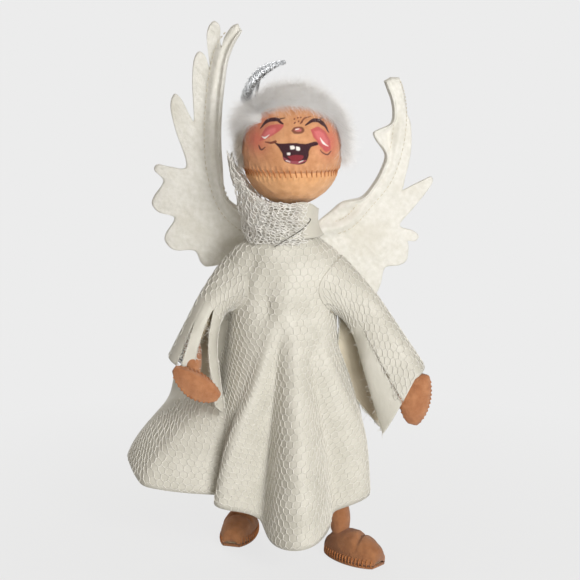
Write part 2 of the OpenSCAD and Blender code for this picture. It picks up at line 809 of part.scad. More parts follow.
right_outer = [[-11, 113, 0], [-22, 107, 0.05], [-31, 104.5, 0.09], [-34, 106, 0.105], [-36.5, 110.5, 0.12],
  [-44, 110.5, 0.14], [-47.6, 113.5, 0.155], [-47.4, 117, 0.17], [-44, 123, 0.19], [-50, 125, 0.21],
  [-52.6, 128, 0.225], [-51.5, 131.5, 0.24], [-48, 137, 0.265], [-51.4, 141, 0.285], [-50, 143.3, 0.297],
  [-45.5, 142.5, 0.31], [-39, 143, 0.33], [-43, 156.5, 0.35], [-44.7, 165, 0.362], [-43.3, 169.6, 0.372],
  [-40.8, 168.2, 0.38], [-37.8, 162.4, 0.39], [-36, 159.8, 0.405], [-36.1, 167, 0.48], [-36.3, 174.5, 0.53],
  [-35.6, 182, 0.57], [-33.8, 185.2, 0.59], [-31.5, 184, 0.61], [-29.7, 179.8, 0.68], [-30.6, 191.5, 0.745],
  [-28.2, 196.2, 0.765], [-25.7, 194.3, 0.78], [-25.7, 189, 0.8], [-25.1, 187.4, 0.83],
  [-23.9, 190.8, 0.89], [-21.4, 194.3, 0.95], [-19, 195.4, 1]];
right_inner = [[-10, 121, 0], [-14.5, 124.5, 0.1], [-19.5, 127.8, 0.2], [-24.2, 132.5, 0.3],
  [-25.2, 144, 0.4], [-25.6, 154, 0.5], [-25.1, 164, 0.6], [-24, 173.5, 0.7], [-22.7, 181.5, 0.8],
  [-20.4, 187.6, 0.9], [-17.4, 192.6, 1]];

wing_y = wing_hinge_y + 2.3;
wing_ts = [-1, -0.45, -0.12, 0, 0.12, 0.45, 1];
wing_rib = thin_fit + 0.4;
wing_channel = 1.7;

// Front to back place: the wing bows back along its length, and its inner edge curls forward,
// less where the wing is narrow
wing_curl = 5.5;
wing_curl_share = 0.6;
wing_arch = 3;
wing_dish = 2.5;
wing_dish_reach = 18;
wing_wire_steps = 14;
wing_wire_end = 0.84;

// Depth of the wing's middle surface behind the hinge line, on the spine
function wing_depth(s) = wing_y + wing_arch * (sin(180 * s) - s);

// Nearest place to p on the spine, as [distance, fraction of the spine]
function spine_near(line, p) =
  let (
    n = len(line) - 1,
    hits = [for (i = [0 : n - 1])
      let (d = line[i + 1] - line[i], k = min(1, max(0, (p - line[i]) * d / (d * d))))
      [norm(p - line[i] - k * d), (i + k) / n]],
    least = min([for (h = hits) h[0]]))
  [for (h = hits) if (h[0] == least) h][0];

function wing_edge(list, s) = [for (k = [0, 1]) lookup(s, [for (p = list) [p[2], p[k]]])];

// One face of a felt layer, with two rows to each stretch between the points of the outer edge.
// The layer dishes away from the spine outwards, curls back inwards and stands off round the wire.
function wing_face(spine, outer, inner, d) =
  let (
    rows = 2 * (len(outer) - 1),
    line = [for (i = [0 : 2 * wing_wire_steps]) curve(spine, i / (2 * wing_wire_steps))])
  [for (j = [0 : rows]) [for (t = wing_ts)
    let (
      o = curve(outer, 1 - j / rows),
      s = o[2],
      c = curve(spine, s),
      e = t > 0 ? [o[0], o[1]] : wing_edge(inner, s),
      p = c + (e - c) * abs(t),
      near = spine_near(line, p),
      curl = min(wing_curl, wing_curl_share * norm(e - c)) * t * t * smooth(s / 0.35),
      dish = wing_dish * pow(near[0] / wing_dish_reach, 2) * sin(180 * near[1]),
      y = t < 0 ? wing_depth(s) - curl : wing_depth(near[1]) + dish)
    [p[0], y - sign(d) * (abs(d) + (wing_rib - fit) * bell(near[0], wing_channel)), p[1]]]];

module wing_layer(spine, outer, inner, front, left) {
  near = wing_face(spine, outer, inner, front ? fit : -fit);
  beyond = wing_face(spine, outer, inner, front ? fit + felt_t : -fit - felt_t);
  if (front)
    shell(beyond, near, false, !left);
  else
    shell(near, beyond, false, !left);
}

function wing_wire_points(spine) =
  [for (i = [0 : wing_wire_steps])
    let (s = wing_wire_end * i / wing_wire_steps, c = curve(spine, s))
    [c[0], wing_depth(s), c[1]]];

module wing_wire_of(spine, side) {
  hinge = [side * wing_hinge_x, wing_hinge_y, wing_hinge_z];
  up = [0, 0, 1];
  thin_tube(concat([hinge - pin_reach * up, hinge + (pin_reach - thin_r) * up,
    hinge + [side * thin_r, 0.4, pin_reach + thin_r / 3], [side * (wing_hinge_x + 2.4), wing_y,
    wing_hinge_z + pin_reach + thin_r / 2]], wing_wire_points(spine)), thin_r);
}

module wing_bar() {
  color("silver") place() {
    rod([-wing_hinge_x + eye_r, wing_hinge_y, wing_hinge_z],
      [wing_hinge_x - eye_r, wing_hinge_y, wing_hinge_z], thin_r * bar_thin);
    for (side = [-1, 1])
      eye([side * wing_hinge_x, wing_hinge_y, wing_hinge_z], 0, true, thin_r);
  }
}

module left_wing_front() {
  color("ivory") place() wing_layer(left_spine, left_outer, left_inner, true, true);
}

module left_wing_back() {
  color("ivory") place() wing_layer(left_spine, left_outer, left_inner, false, true);
}

module left_wing_wire() {
  color("silver") place() wing_wire_of(left_spine, 1);
}

module right_wing_front() {
  color("ivory") place() wing_layer(right_spine, right_outer, right_inner, true, false);
}

module right_wing_back() {
  color("ivory") place() wing_layer(right_spine, right_outer, right_inner, false, false);
}

module right_wing_wire() {
  color("silver") place() wing_wire_of(right_spine, -1);
}

torso();
spine_wire();
neck_wire();
head_wire();
head_stuffing();
face_panel();
chin_gusset();
head_back();
hair();
halo();
halo_wire();
halo_socket();
left_arm();
left_arm_wire();
left_hand();
left_hand_wire();
right_arm();
right_arm_wire();
right_hand();
right_hand_wire();
left_leg();
left_leg_wire();
left_foot();
left_sole();
left_insole();
left_foot_wire();
right_leg();
right_leg_wire();
right_foot();
right_sole();
right_insole();
right_foot_wire();
gown();
gown_net();
net_collar();
neck_thread();
left_sleeve();
left_sleeve_net();
right_sleeve();
right_sleeve_net();
wing_bar();
left_wing_front();
left_wing_back();
left_wing_wire();
right_wing_front();
right_wing_back();
right_wing_wire();
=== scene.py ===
import math
from functools import partial
import bpy
import numpy as np
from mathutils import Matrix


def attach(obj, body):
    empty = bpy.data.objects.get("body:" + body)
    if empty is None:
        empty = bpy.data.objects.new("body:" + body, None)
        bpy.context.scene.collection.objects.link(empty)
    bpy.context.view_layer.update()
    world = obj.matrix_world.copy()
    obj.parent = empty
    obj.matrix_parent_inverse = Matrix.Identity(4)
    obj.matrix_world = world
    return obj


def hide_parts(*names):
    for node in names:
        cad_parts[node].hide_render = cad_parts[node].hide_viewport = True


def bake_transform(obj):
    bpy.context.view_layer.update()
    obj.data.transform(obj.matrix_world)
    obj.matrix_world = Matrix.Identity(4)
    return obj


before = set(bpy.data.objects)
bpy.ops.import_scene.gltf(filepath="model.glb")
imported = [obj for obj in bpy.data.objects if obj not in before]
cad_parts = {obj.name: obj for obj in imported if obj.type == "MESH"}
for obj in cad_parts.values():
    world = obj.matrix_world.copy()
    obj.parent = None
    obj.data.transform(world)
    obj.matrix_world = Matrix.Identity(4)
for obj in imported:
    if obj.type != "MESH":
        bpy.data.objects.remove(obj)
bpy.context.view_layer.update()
print("frame loaded")

mm = 0.001
placing = np.array([4.9, 0.1, 0.0])  # centres the doll over the origin, in millimetres
scene = bpy.context.scene


# camera: the photograph's angle, a little above the doll, aimed at its middle
cameraSet = dict(aim=(0, 0, 99), distance=500, elevation=10, wide=213, sensor=36)


def addCamera(s):
    aim = (np.array(s["aim"]) + placing) * mm
    e = math.radians(s["elevation"])
    data = bpy.data.cameras.new("photoCamera")
    data.sensor_fit = "HORIZONTAL"
    data.sensor_width = s["sensor"]
    data.lens = s["sensor"] * s["distance"] / s["wide"]
    data.clip_start = 0.01
    camera = bpy.data.objects.new("photoCamera", data)
    camera.location = aim + s["distance"] * mm * np.array([0, -math.cos(e), math.sin(e)])
    camera.rotation_euler = (math.pi / 2 - e, 0, 0)
    scene.collection.objects.link(camera)
    scene.camera = camera


addCamera(cameraSet)
print("camera placed")


# shape maths, all in millimetres and degrees

def cosd(a):
    return np.cos(np.radians(a))


def sind(a):
    return np.sin(np.radians(a))


def bell(x, w):
    return np.exp(-(x / w) ** 2)


def smooth(x):
    t = np.clip(x, 0, 1)
    return t * t * (3 - 2 * t)


def turned(a):
    return (np.asarray(a) + 180) % 360 - 180


def unit(v):
    v = np.asarray(v, float)
    return v / np.maximum(np.linalg.norm(v, axis=-1, keepdims=True), 1e-9)


# a place on the doll in the scene's metres
def placed(p):
    return tuple((np.array(p, float) + placing) * mm)


# coordinates put together as points, each stretched to the others' shape
def stacked(parts):
    return np.stack(np.broadcast_arrays(*parts), -1)


# a list read at a fraction of its length, on a smooth curve through its points
def curved(table, s):
    t = np.asarray(table, float)
    n = len(t) - 1
    t = np.vstack([2 * t[0] - t[1], t, 2 * t[-1] - t[-2]])
    p = np.clip(np.asarray(s, float), 0, 1) * n
    i = np.minimum(np.floor(p).astype(int), n - 1)
    f = (p - i)[..., None]
    a, b, c, d = (t[i + k] for k in range(4))
    return 0.5 * (2 * b + (c - a) * f + (2 * a - 5 * b + 4 * c - d) * f ** 2
                  + (3 * b - 3 * c + d - a) * f ** 3)


# cheap smooth noise: a sum of sines of turned places
def ripple(p, size, seed):
    r = np.random.default_rng(seed)
    out = 0
    for k in range(6):
        d = unit(r.normal(size=3))
        out = out + np.sin((p @ d) * 2 * np.pi / (size * r.uniform(0.7, 1.5)) + r.uniform(0, 6.28))
    return out / 3.5


# outward direction of a surface given by a function of u and v, from its two slopes
def normalOf(surface, u, v, du=0.6, dv=0.008, side=1):
    a = surface(u + du, v) - surface(u - du, v)
    b = surface(u, np.minimum(v + dv, 1)) - surface(u, np.maximum(v - dv, 0))
    return side * unit(np.cross(b, a))


# meshes

def gridFaces(rows, cols, wrap=False):
    j, i = np.meshgrid(np.arange(rows - 1), np.arange(cols if wrap else cols - 1), indexing="ij")
    k = (i + 1) % cols
    return stacked([j * cols + i, j * cols + k, (j + 1) * cols + k, (j + 1) * cols + i]).reshape(-1, 4)


# faces turned so that a closed body's volume comes out positive
def outward(points, groups):
    total = 0
    for g in groups:
        p = points[g]
        for k in range(1, g.shape[1] - 1):
            total += np.einsum("ij,ij->i", p[:, 0], np.cross(p[:, k], p[:, k + 1])).sum()
    return groups if total > 0 else [g[:, ::-1] for g in groups]


def addPiece(name, points, faces, finish, body=None, slot=None, nodes=(), closed=False,
             values=None, thick=None, lining=None):
    points = np.asarray(points, float).reshape(-1, 3)
    groups = faces if isinstance(faces, list) else [faces]
    if closed:
        groups = outward(points - points.mean(0), groups)
    loops = np.concatenate([g.ravel() for g in groups]).astype(np.int32)
    sizes = np.concatenate([np.full(len(g), g.shape[1]) for g in groups])
    starts = np.concatenate([[0], np.cumsum(sizes)[:-1]]).astype(np.int32)
    mesh = bpy.data.meshes.new(name)
    mesh.vertices.add(len(points))
    mesh.vertices.foreach_set("co", ((points + placing) * mm).astype(np.float32).ravel())
    mesh.loops.add(len(loops))
    mesh.loops.foreach_set("vertex_index", loops)
    mesh.polygons.add(len(sizes))
    mesh.polygons.foreach_set("loop_start", starts)
    mesh.polygons.foreach_set("use_smooth", np.ones(len(sizes), bool))
    for key, val in (values or {}).items():
        val = np.asarray(val, np.float32)
        kind, field = ("FLOAT_COLOR", "color") if val.ndim == 2 else ("FLOAT", "value")
        mesh.attributes.new(key, kind, "POINT").data.foreach_set(field, val.ravel())
    mesh.update(calc_edges=True)
    mesh.validate()
    mesh.materials.append(finish)
    piece = bpy.data.objects.new(name, mesh)
    scene.collection.objects.link(piece)
    if thick:
        wall = piece.modifiers.new("wall", "SOLIDIFY")
        wall.thickness = thick * mm
        wall.offset = -1
        if lining:
            mesh.materials.append(lining)
            wall.material_offset = 1
    if body:
        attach(piece, body)
    if nodes:
        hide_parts(*nodes)
    return piece


# rings skinned into a closed body, with a fan of triangles at each end
def ringBody(rings):
    m, n = rings.shape[:2]
    points = np.vstack([rings.reshape(-1, 3), rings[0].mean(0), rings[-1].mean(0)])
    k = np.arange(n)
    low = stacked([np.full(n, m * n), (k + 1) % n, k])
    high = stacked([np.full(n, m * n + 1), (m - 1) * n + k, (m - 1) * n + (k + 1) % n])
    return points, [gridFaces(m, n, True), np.vstack([low, high])]


# many thin tubes at once: each path's points carry a small polygon of the given radius
def tubes(paths, radius, sides=4, ref=(0.31, 0.52, 0.8), cap=True, flat=1.0):
    paths = np.asarray(paths, float)
    k, n = paths.shape[:2]
    ahead = unit(np.gradient(paths, axis=1))
    ref = np.broadcast_to(np.asarray(ref, float), paths.shape) if np.ndim(ref) < 3 else ref
    side = unit(np.cross(ahead, ref))
    up = np.cross(side, ahead)
    a = 2 * np.pi * (np.arange(sides) + 0.5) / sides
    r = np.broadcast_to(radius, (k, n))[..., None, None]
    points = (paths[:, :, None] + r * (np.cos(a)[:, None] * side[:, :, None]
                                       + flat * np.sin(a)[:, None] * up[:, :, None]))
    faces = (gridFaces(n, sides, True)[None] + (np.arange(k) * n * sides)[:, None, None]).reshape(-1, 4)
    groups = [faces[:, ::-1]]
    if cap:
        s = np.arange(sides)
        ends = np.stack([s, s[::-1] + (n - 1) * sides])
        groups.append((ends[None] + (np.arange(k) * n * sides)[:, None, None]).reshape(-1, sides))
    return points.reshape(-1, 3), groups


# many flat fibres at once, each a ribbon that narrows to its tip
def ribbons(paths, width, face):
    k, n = paths.shape[:2]
    ahead = unit(np.gradient(paths, axis=1))
    side = unit(np.cross(ahead, face[:, None])) * width[..., None] / 2
    points = np.stack([paths - side, paths + side], 2)
    faces = (gridFaces(n, 2)[None] + (np.arange(k) * n * 2)[:, None, None]).reshape(-1, 4)
    return points.reshape(-1, 3), faces


# one body from several: points stacked, faces renumbered
def joined(parts):
    points, groups, start = [], [], 0
    for p, gs in parts:
        p = np.asarray(p).reshape(-1, 3)
        points.append(p)
        groups += [g + start for g in (gs if isinstance(gs, list) else [gs])]
        start += len(p)
    return np.vstack(points), groups


# materials

def linear(code):
    c = np.array([int(code[i:i + 2], 16) for i in (1, 3, 5)]) / 255
    c = np.where(c <= 0.04045, c / 12.92, ((c + 0.055) / 1.055) ** 2.4)
    return (*c.tolist(), 1.0)


# fills a node's inputs: a socket given as a value is linked, anything else is set
def plug(tree, node, inputs):
    for key, val in inputs.items():
        if isinstance(val, bpy.types.NodeSocket):
            tree.links.new(val, node.inputs[key])
        else:
            node.inputs[key].default_value = val


# adds a node with its settings and inputs
def add(tree, kind, inputs=None, **settings):
    node = tree.nodes.new(kind)
    for key, val in settings.items():
        setattr(node, key, val)
    plug(tree, node, inputs or {})
    return node


def newFinish(name):
    finish = bpy.data.materials.new(name)
    finish.use_nodes = True
    tree = finish.node_tree
    shader = tree.nodes["Principled BSDF"]
    place = add(tree, "ShaderNodeTexCoord").outputs["Object"]
    return finish, tree, shader, place


# cycles per metre of a pattern that repeats every size millimetres
def perMetre(size):
    return 1000 / size


# two colours mixed by a value between low and high
def blendOf(tree, value, low, high, dark, light):
    ramp = add(tree, "ShaderNodeMapRange", {"Value": value, "From Min": low, "From Max": high})
    return add(tree, "ShaderNodeMix", {0: ramp.outputs[0], 6: dark, 7: light}, data_type="RGBA").outputs[2]


# wool felt, pressed: matted fibres, soft clumps of shade, a fuzzy rim under side light
def feltFinish(name, dark, light, worn, clump=2.6, fibre=0.45, depth=0.35):
    finish, tree, shader, place = newFinish(name)
    clumps = add(tree, "ShaderNodeTexNoise", {"Vector": place, "Scale": perMetre(clump), "Detail": 4.0})
    hairs = add(tree, "ShaderNodeTexNoise", {"Vector": place, "Scale": perMetre(fibre), "Detail": 3.0,
                                             "Distortion": 1.6})
    wide = add(tree, "ShaderNodeTexNoise", {"Vector": place, "Scale": perMetre(14), "Detail": 2.0})
    colour = blendOf(tree, clumps.outputs["Fac"], 0.3, 0.7, linear(dark), linear(light))
    ramp = add(tree, "ShaderNodeMapRange", {"Value": wide.outputs["Fac"], "From Min": 0.48, "From Max": 0.72,
                                            "To Max": 0.55})
    colour = add(tree, "ShaderNodeMix", {0: ramp.outputs[0], 6: colour, 7: linear(worn)},
                 data_type="RGBA").outputs[2]
    both = add(tree, "ShaderNodeMath", {0: clumps.outputs["Fac"], 1: hairs.outputs["Fac"]}, operation="ADD")
    bump = add(tree, "ShaderNodeBump", {"Height": both.outputs[0], "Strength": 0.75, "Distance": depth * mm})
    plug(tree, shader, {"Base Color": colour, "Normal": bump.outputs[0], "Roughness": 0.95,
                        "Specular IOR Level": 0.15, "Sheen Weight": 0.25, "Sheen Roughness": 0.5})
    return finish


# polyester satin, woven with floating threads: a pearl gloss that runs in soft bands along the folds
def satinFinish(name, dark, light, gloss=0.5):
    finish, tree, shader, place = newFinish(name)
    slub = add(tree, "ShaderNodeMapping", {"Vector": place, "Scale": (1, 1, 0.18)})
    threads = add(tree, "ShaderNodeTexNoise", {"Vector": slub.outputs[0], "Scale": perMetre(0.5),
                                               "Detail": 3.0})
    soft = add(tree, "ShaderNodeTexNoise", {"Vector": place, "Scale": perMetre(9), "Detail": 3.0})
    creases = add(tree, "ShaderNodeTexNoise", {"Vector": place, "Scale": perMetre(5), "Detail": 4.0,
                                               "Distortion": 0.6})
    colour = blendOf(tree, soft.outputs["Fac"], 0.35, 0.7, linear(dark), linear(light))
    rough = add(tree, "ShaderNodeMapRange", {"Value": threads.outputs["Fac"], "To Min": gloss - 0.06,
                                             "To Max": gloss + 0.08})
    height = add(tree, "ShaderNodeMath", {0: creases.outputs["Fac"], 1: 6.0}, operation="MULTIPLY")
    height = add(tree, "ShaderNodeMath", {0: height.outputs[0], 1: threads.outputs["Fac"]}, operation="ADD")
    bump = add(tree, "ShaderNodeBump", {"Height": height.outputs[0], "Strength": 0.5, "Distance": 0.12 * mm})
    plug(tree, shader, {"Base Color": colour, "Normal": bump.outputs[0], "Roughness": rough.outputs[0],
                        "Specular IOR Level": 0.3, "Sheen Weight": 0.2, "Sheen Roughness": 0.35})
    return finish


# spun or drawn thread: faint light and dark along its length from the twist
def threadFinish(name, dark, light, rough=0.6, step=1.2, sheen=0.0):
    finish, tree, shader, place = newFinish(name)
    noise = add(tree, "ShaderNodeTexNoise", {"Vector": place, "Scale": perMetre(step), "Detail": 2.0})
    colour = blendOf(tree, noise.outputs["Fac"], 0.35, 0.65, linear(dark), linear(light))
    bump = add(tree, "ShaderNodeBump", {"Height": noise.outputs["Fac"], "Strength": 0.3, "Distance": 0.05 * mm})
    plug(tree, shader, {"Base Color": colour, "Normal": bump.outputs[0], "Roughness": rough,
                        "Specular IOR Level": 0.3, "Sheen Weight": sheen})
    return finish


# metal: foil strips or drawn wire, with fine scratches in its gloss
def metalFinish(name, dark, light, rough, grain=0.8):
    finish, tree, shader, place = newFinish(name)
    noise = add(tree, "ShaderNodeTexNoise", {"Vector": place, "Scale": perMetre(grain), "Detail": 3.0})
    colour = blendOf(tree, noise.outputs["Fac"], 0.3, 0.7, linear(dark), linear(light))
    gloss = add(tree, "ShaderNodeMapRange", {"Value": noise.outputs["Fac"], "To Min": rough * 0.6,
                                             "To Max": rough * 1.5})
    bump = add(tree, "ShaderNodeBump", {"Height": noise.outputs["Fac"], "Strength": 0.4, "Distance": 0.05 * mm})
    plug(tree, shader, {"Base Color": colour, "Normal": bump.outputs[0], "Roughness": gloss.outputs[0],
                        "Metallic": 1.0})
    return finish


peachFelt = feltFinish("peachWoolFelt", "#CC9064", "#E4AA7E", "#C5875B")
# painted light: the chin's felt is brighter than the face's, so that the chin, which faces down, shows as lit
paintedLightChinFelt = feltFinish("paintedLightChinWoolFelt", "#DEA26F", "#F3BC88", "#D49663")
handFelt = feltFinish("handWoolFelt", "#B27650", "#CA8F66", "#9E6340", depth=0.5)
footFelt = feltFinish("footWoolFelt", "#A66F4A", "#BE855B", "#925B38", depth=0.5)
ivoryFelt = feltFinish("ivoryWoolFelt", "#E6E4DA", "#F3F1EA", "#DEDACC", clump=1.8, depth=0.3)
bodyFelt = feltFinish("bodyWoolFelt", "#C2B28F", "#D4C6A6", "#B5A37E")
fleeceMat = feltFinish("fleeceBacking", "#E6E2DE", "#F4F2F0", "#DCD7D2", clump=1.5, depth=0.4)
fleeceHair = threadFinish("fleeceFibre", "#F4F2F0", "#FDFCFB", 0.75, 3.0, 1.0)
# painted shade: darker beige fibres for the fleece on the viewer's left of the head, standing for the shade that
# falls on that side
paintedShadeHair = threadFinish("paintedShadeFleeceFibre", "#C6BBAC", "#DDD5CA", 0.75, 3.0)
pearlSatin = satinFinish("pearlPolyesterSatin", "#CBC8BC", "#D8D5CA")
satinBack = satinFinish("satinWrongSide", "#C8BEA6", "#D8CFB9", 0.6)
netThread = threadFinish("polyesterNetThread", "#DBD8CD", "#EAE7DF", 0.5, sheen=0.6)
collarThread = threadFinish("bunchedNetThread", "#E2DFD6", "#F6F4EF", 0.5, sheen=0.6)
darkThread = threadFinish("darkSewingThread", "#2F2D28", "#4A463E", 0.7)
peachThread = threadFinish("peachSewingThread", "#AE6B3C", "#C78653", 0.8)
ivoryThread = threadFinish("ivorySewingThread", "#C9BFA8", "#E4DDCB", 0.8)
frayThread = threadFinish("frayedSatinThread", "#DEDACF", "#F3F1EA", 0.6)
foil = metalFinish("silverTinselFoil", "#C4C6C8", "#F0F1F2", 0.28)
drawnWire = metalFinish("drawnSteelWire", "#77787A", "#9C9DA0", 0.35, 0.4)
# grey-brown card, pulped: short fibres in two shades
cardFinish = feltFinish("greyCard", "#9C8C6E", "#B7A686", "#8F7F61", clump=0.8, depth=0.1)

# CAD pieces that keep their own mesh, by the end of their name
nodeFinishes = {"wire": drawnWire, "socket": drawnWire, "bar": drawnWire, "insole": cardFinish}
for nodeName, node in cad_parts.items():
    finish = nodeFinishes.get(nodeName.split("_")[-1])
    if finish:
        node.data.materials.clear()
        node.data.materials.append(finish)
print("finishes made")


# head: an egg of stacked circles, each narrower towards its poles, set about an upright axis
headSet = dict(mid=(0.5, 1, 151), wide=18.4, tall=20.6, lean=0.05, seamZ=142.8, seamY=2.0,
               groove=0.8, pucker=0.3, stitchGap=2.15, stitchHalf=4.2, stitchRadius=0.2)


headMid = np.array(headSet["mid"])
headHalf = np.array([headSet["wide"], headSet["wide"], headSet["tall"]])


def eggAt(lat, turn, grow=0.0):
    r = (headSet["wide"] + grow) * cosd(lat) * (1 - headSet["lean"] * sind(lat))
    x, y, z = headSet["mid"]
    return stacked([x + r * cosd(turn), y + r * sind(turn), z + (headSet["tall"] + grow) * sind(lat)])


seamLat = math.degrees(math.asin((headSet["seamZ"] - headSet["mid"][2]) / headSet["tall"]))


# where the side seam crosses a circle of latitude
def seamTurn(lat):
    r = headSet["wide"] * cosd(lat) * (1 - headSet["lean"] * sind(lat))
    return np.degrees(np.arcsin(np.clip(headSet["seamY"] / np.maximum(r, 2.2), -1, 1)))


# felt head skin: pulled in along the seams, puckered by the overcast thread beside the chin seam
def headSkin(lat, turn):
    radius = headSet["wide"] * cosd(lat)
    above = (lat - seamLat) * np.pi / 180 * headSet["tall"]
    count = round(np.pi * headSet["wide"] / headSet["stitchGap"])
    tuck = np.abs(cosd(turn * count)) ** 3
    front = smooth((-sind(turn) + 0.15) / 0.25)
    inset = headSet["groove"] * bell(above, 0.9) * front
    inset = inset + headSet["pucker"] * (1 - tuck) * bell(np.abs(above) - 1.6, 1.3) * front
    fromSide = np.abs(radius * sind(turn) - headSet["seamY"])
    inset = inset + 0.6 * bell(fromSide, 1.1) * smooth((75 - lat) / 20)
    p = eggAt(lat, turn)
    rough = 0.09 * ripple(p, 4.5, 3) + 0.05 * ripple(p, 1.8, 4)
    return eggAt(lat, turn, -inset + rough)


def headPanel(name, lats, front, nodes, finish, values=None, cols=200):
    lat = lats[:, None] + np.zeros((1, cols))
    edge = seamTurn(lat)
    f = np.linspace(0, 1, cols)[None]
    turn = -180 - edge + (180 + 2 * edge) * f if front else edge + (180 - 2 * edge) * f
    points = headSkin(lat, turn)
    shades = values(points) if values else None
    return addPiece(name, points, gridFaces(len(lats), cols), finish, "head", "felt_peach", nodes,
                    values=shades)


# painted face: strokes in the front plane of the head, x to the viewer's right and z up from its middle.
# each stroke is a curve with a width along it; paint covers where a point is nearer than half the width
def strokeCover(x, z, line, width, soft=0.16):
    s = np.linspace(0, 1, 28)
    path = curved(line, s)
    half = np.interp(s, np.linspace(0, 1, len(width)), width) / 2
    best = np.full(x.shape, -9.0)
    for (ax, az), (bx, bz), ha, hb in zip(path[:-1], path[1:], half[:-1], half[1:]):
        dx, dz = bx - ax, bz - az
        t = np.clip(((x - ax) * dx + (z - az) * dz) / max(dx * dx + dz * dz, 1e-9), 0, 1)
        away = np.hypot(x - ax - t * dx, z - az - t * dz)
        best = np.maximum(best, ha + (hb - ha) * t - away)
    return smooth(best / soft + 0.5)


# cover inside a closed curve through the given points
def patchCover(x, z, line, soft=0.2):
    path = curved(list(line) + [line[0]], np.linspace(0, 1, 60))
    inside = np.zeros(x.shape, bool)
    near = np.full(x.shape, 99.0)
    for (ax, az), (bx, bz) in zip(path[:-1], path[1:]):
        dx, dz = bx - ax, bz - az
        t = np.clip(((x - ax) * dx + (z - az) * dz) / max(dx * dx + dz * dz, 1e-9), 0, 1)
        near = np.minimum(near, np.hypot(x - ax - t * dx, z - az - t * dz))
        cross = (az > z) != (bz > z)
        inside ^= cross & (x < dx * (z - az) / (dz if abs(dz) > 1e-9 else 1e-9) + ax)
    return smooth(np.where(inside, near, -near) / soft + 0.5)


# strokes as paint, kind, line, then width along it, softness or spread, then strength
paint = dict(plum="#3B1A22", brown="#6B3229", rose="#C95A5C", pink="#E07C7C", blush="#D9655A",
             white="#FBF4EE", lip="#A2505A", cherry="#8E2F38")
faceStrokes = [
    ("blush", "cloud", [(-12.5, 4.2)], [4.2, 5.2], 0.72),
    ("blush", "cloud", [(13.5, 3.0)], [3.8, 5.0], 0.68),
    ("blush", "cloud", [(-9.0, 10.5)], [3.2, 2.6], 0.35),
    ("rose", "patch", [(-11.3, 3.4), (-8.6, 4.3), (-4.2, 7.0), (-2.8, 9.0), (-5.4, 9.3), (-9.2, 7.8)],
     0.4, 0.9),
    ("pink", "patch", [(-10.2, 4.5), (-8.0, 5.1), (-5.6, 6.9), (-6.0, 8.0), (-8.6, 7.0)], 0.9, 0.8),
    ("rose", "patch", [(6.6, 7.4), (9.6, 8.2), (12.6, 5.4), (13.8, 0.9), (12.0, -0.1), (8.6, 3.6)], 0.4, 0.95),
    ("pink", "patch", [(8.0, 6.9), (10.2, 6.8), (12.4, 4.0), (12.8, 1.6), (11.2, 2.0), (9.0, 4.6)], 0.9, 0.85),
    ("white", "stroke", [(-10.3, 4.9), (-9.2, 4.6), (-7.8, 5.6)], [0.25, 0.7, 0.15], 0.95),
    ("white", "stroke", [(10.2, 4.6), (11.3, 2.6), (12.9, 1.5)], [0.2, 0.75, 0.25], 0.95),
    ("plum", "patch", [(-6.2, 3.2), (-3.4, 2.7), (0.5, 3.0), (4.6, 2.6), (8.2, 3.2), (9.4, 2.2), (6.6, 1.2),
                       (5.9, -2.0), (4.4, -4.2), (0.8, -4.4), (-2.6, -3.2), (-3.4, -0.4), (-4.6, 1.4)], 0.3, 1.0),
    ("cherry", "patch", [(-1.4, -1.8), (1.2, -1.2), (4.2, -1.7), (3.2, -3.1), (0.6, -3.4)], 0.35, 0.9),
    ("lip", "stroke", [(-2.9, -2.2), (-0.6, -3.6), (2.4, -3.9), (5.0, -3.2)], [0.5, 1.0, 1.0, 0.5], 0.95),
    ("white", "patch", [(-0.6, 1.9), (0.7, 2.0), (1.0, 0.9), (-0.3, 0.8)], 0.3, 1.0),
    ("white", "patch", [(1.5, 1.7), (2.9, 1.5), (2.9, 0.4), (1.6, 0.5)], 0.3, 1.0),
    ("white", "patch", [(-1.6, -0.5), (-0.5, -0.4), (-0.5, -1.2), (-1.5, -1.2)], 0.3, 0.9),
    ("white", "stroke", [(-1.9, -3.2), (-0.6, -3.7)], [0.35, 0.3], 0.8),
    ("white", "stroke", [(2.8, -3.7), (4.0, -3.3)], [0.35, 0.3], 0.8),
    ("brown", "stroke", [(-9.0, 3.2), (-7.4, 2.9), (-5.6, 3.3)], [0.35, 0.7, 0.9], 0.9),
    ("plum", "stroke", [(-11.5, 1.9), (-10.6, 0.4), (-9.2, 1.3)], [0.3, 0.7, 0.25], 0.85),
    ("plum", "stroke", [(13.9, -0.4), (12.7, -1.4), (11.0, -0.7), (10.2, 0.4)], [0.3, 0.6, 0.6, 0.25], 0.85),
    ("plum", "stroke", [(-10.8, 7.8), (-8.6, 10.2), (-5.6, 10.9), (-3.0, 9.4)], [0.35, 1.2, 1.3, 0.45], 1.0),
    ("plum", "stroke", [(-4.6, 10.9), (-2.2, 11.5)], [0.7, 0.25], 0.9),
    ("plum", "stroke", [(4.8, 8.9), (8.0, 10.6), (11.2, 9.2), (13.2, 6.3)], [0.45, 1.3, 1.2, 0.35], 1.0),
    ("plum", "stroke", [(9.6, 10.6), (11.4, 11.7)], [0.6, 0.2], 0.9),
    ("brown", "stroke", [(3.2, 9.6), (4.6, 11.3), (6.8, 11.9)], [0.5, 0.6, 0.25], 0.8),
    ("brown", "patch", [(0.0, 7.2), (1.0, 8.3), (3.4, 8.4), (4.6, 7.3), (3.6, 6.2), (1.2, 6.1)], 0.4, 0.85),
    ("pink", "patch", [(1.0, 7.3), (2.0, 8.0), (3.4, 7.7), (3.4, 7.0), (1.9, 6.8)], 0.5, 0.7),
    ("white", "stroke", [(1.5, 7.5), (2.6, 7.7)], [0.4, 0.3], 0.9),
    ("brown", "stroke", [(-8.4, 13.0), (-6.9, 14.0), (-5.6, 13.8)], [0.25, 0.55, 0.2], 0.6),
]
freckles = [(1.2, 9.8), (2.4, 10.2), (3.6, 10.0), (0.9, 11.0), (2.1, 11.4), (3.3, 11.6)]


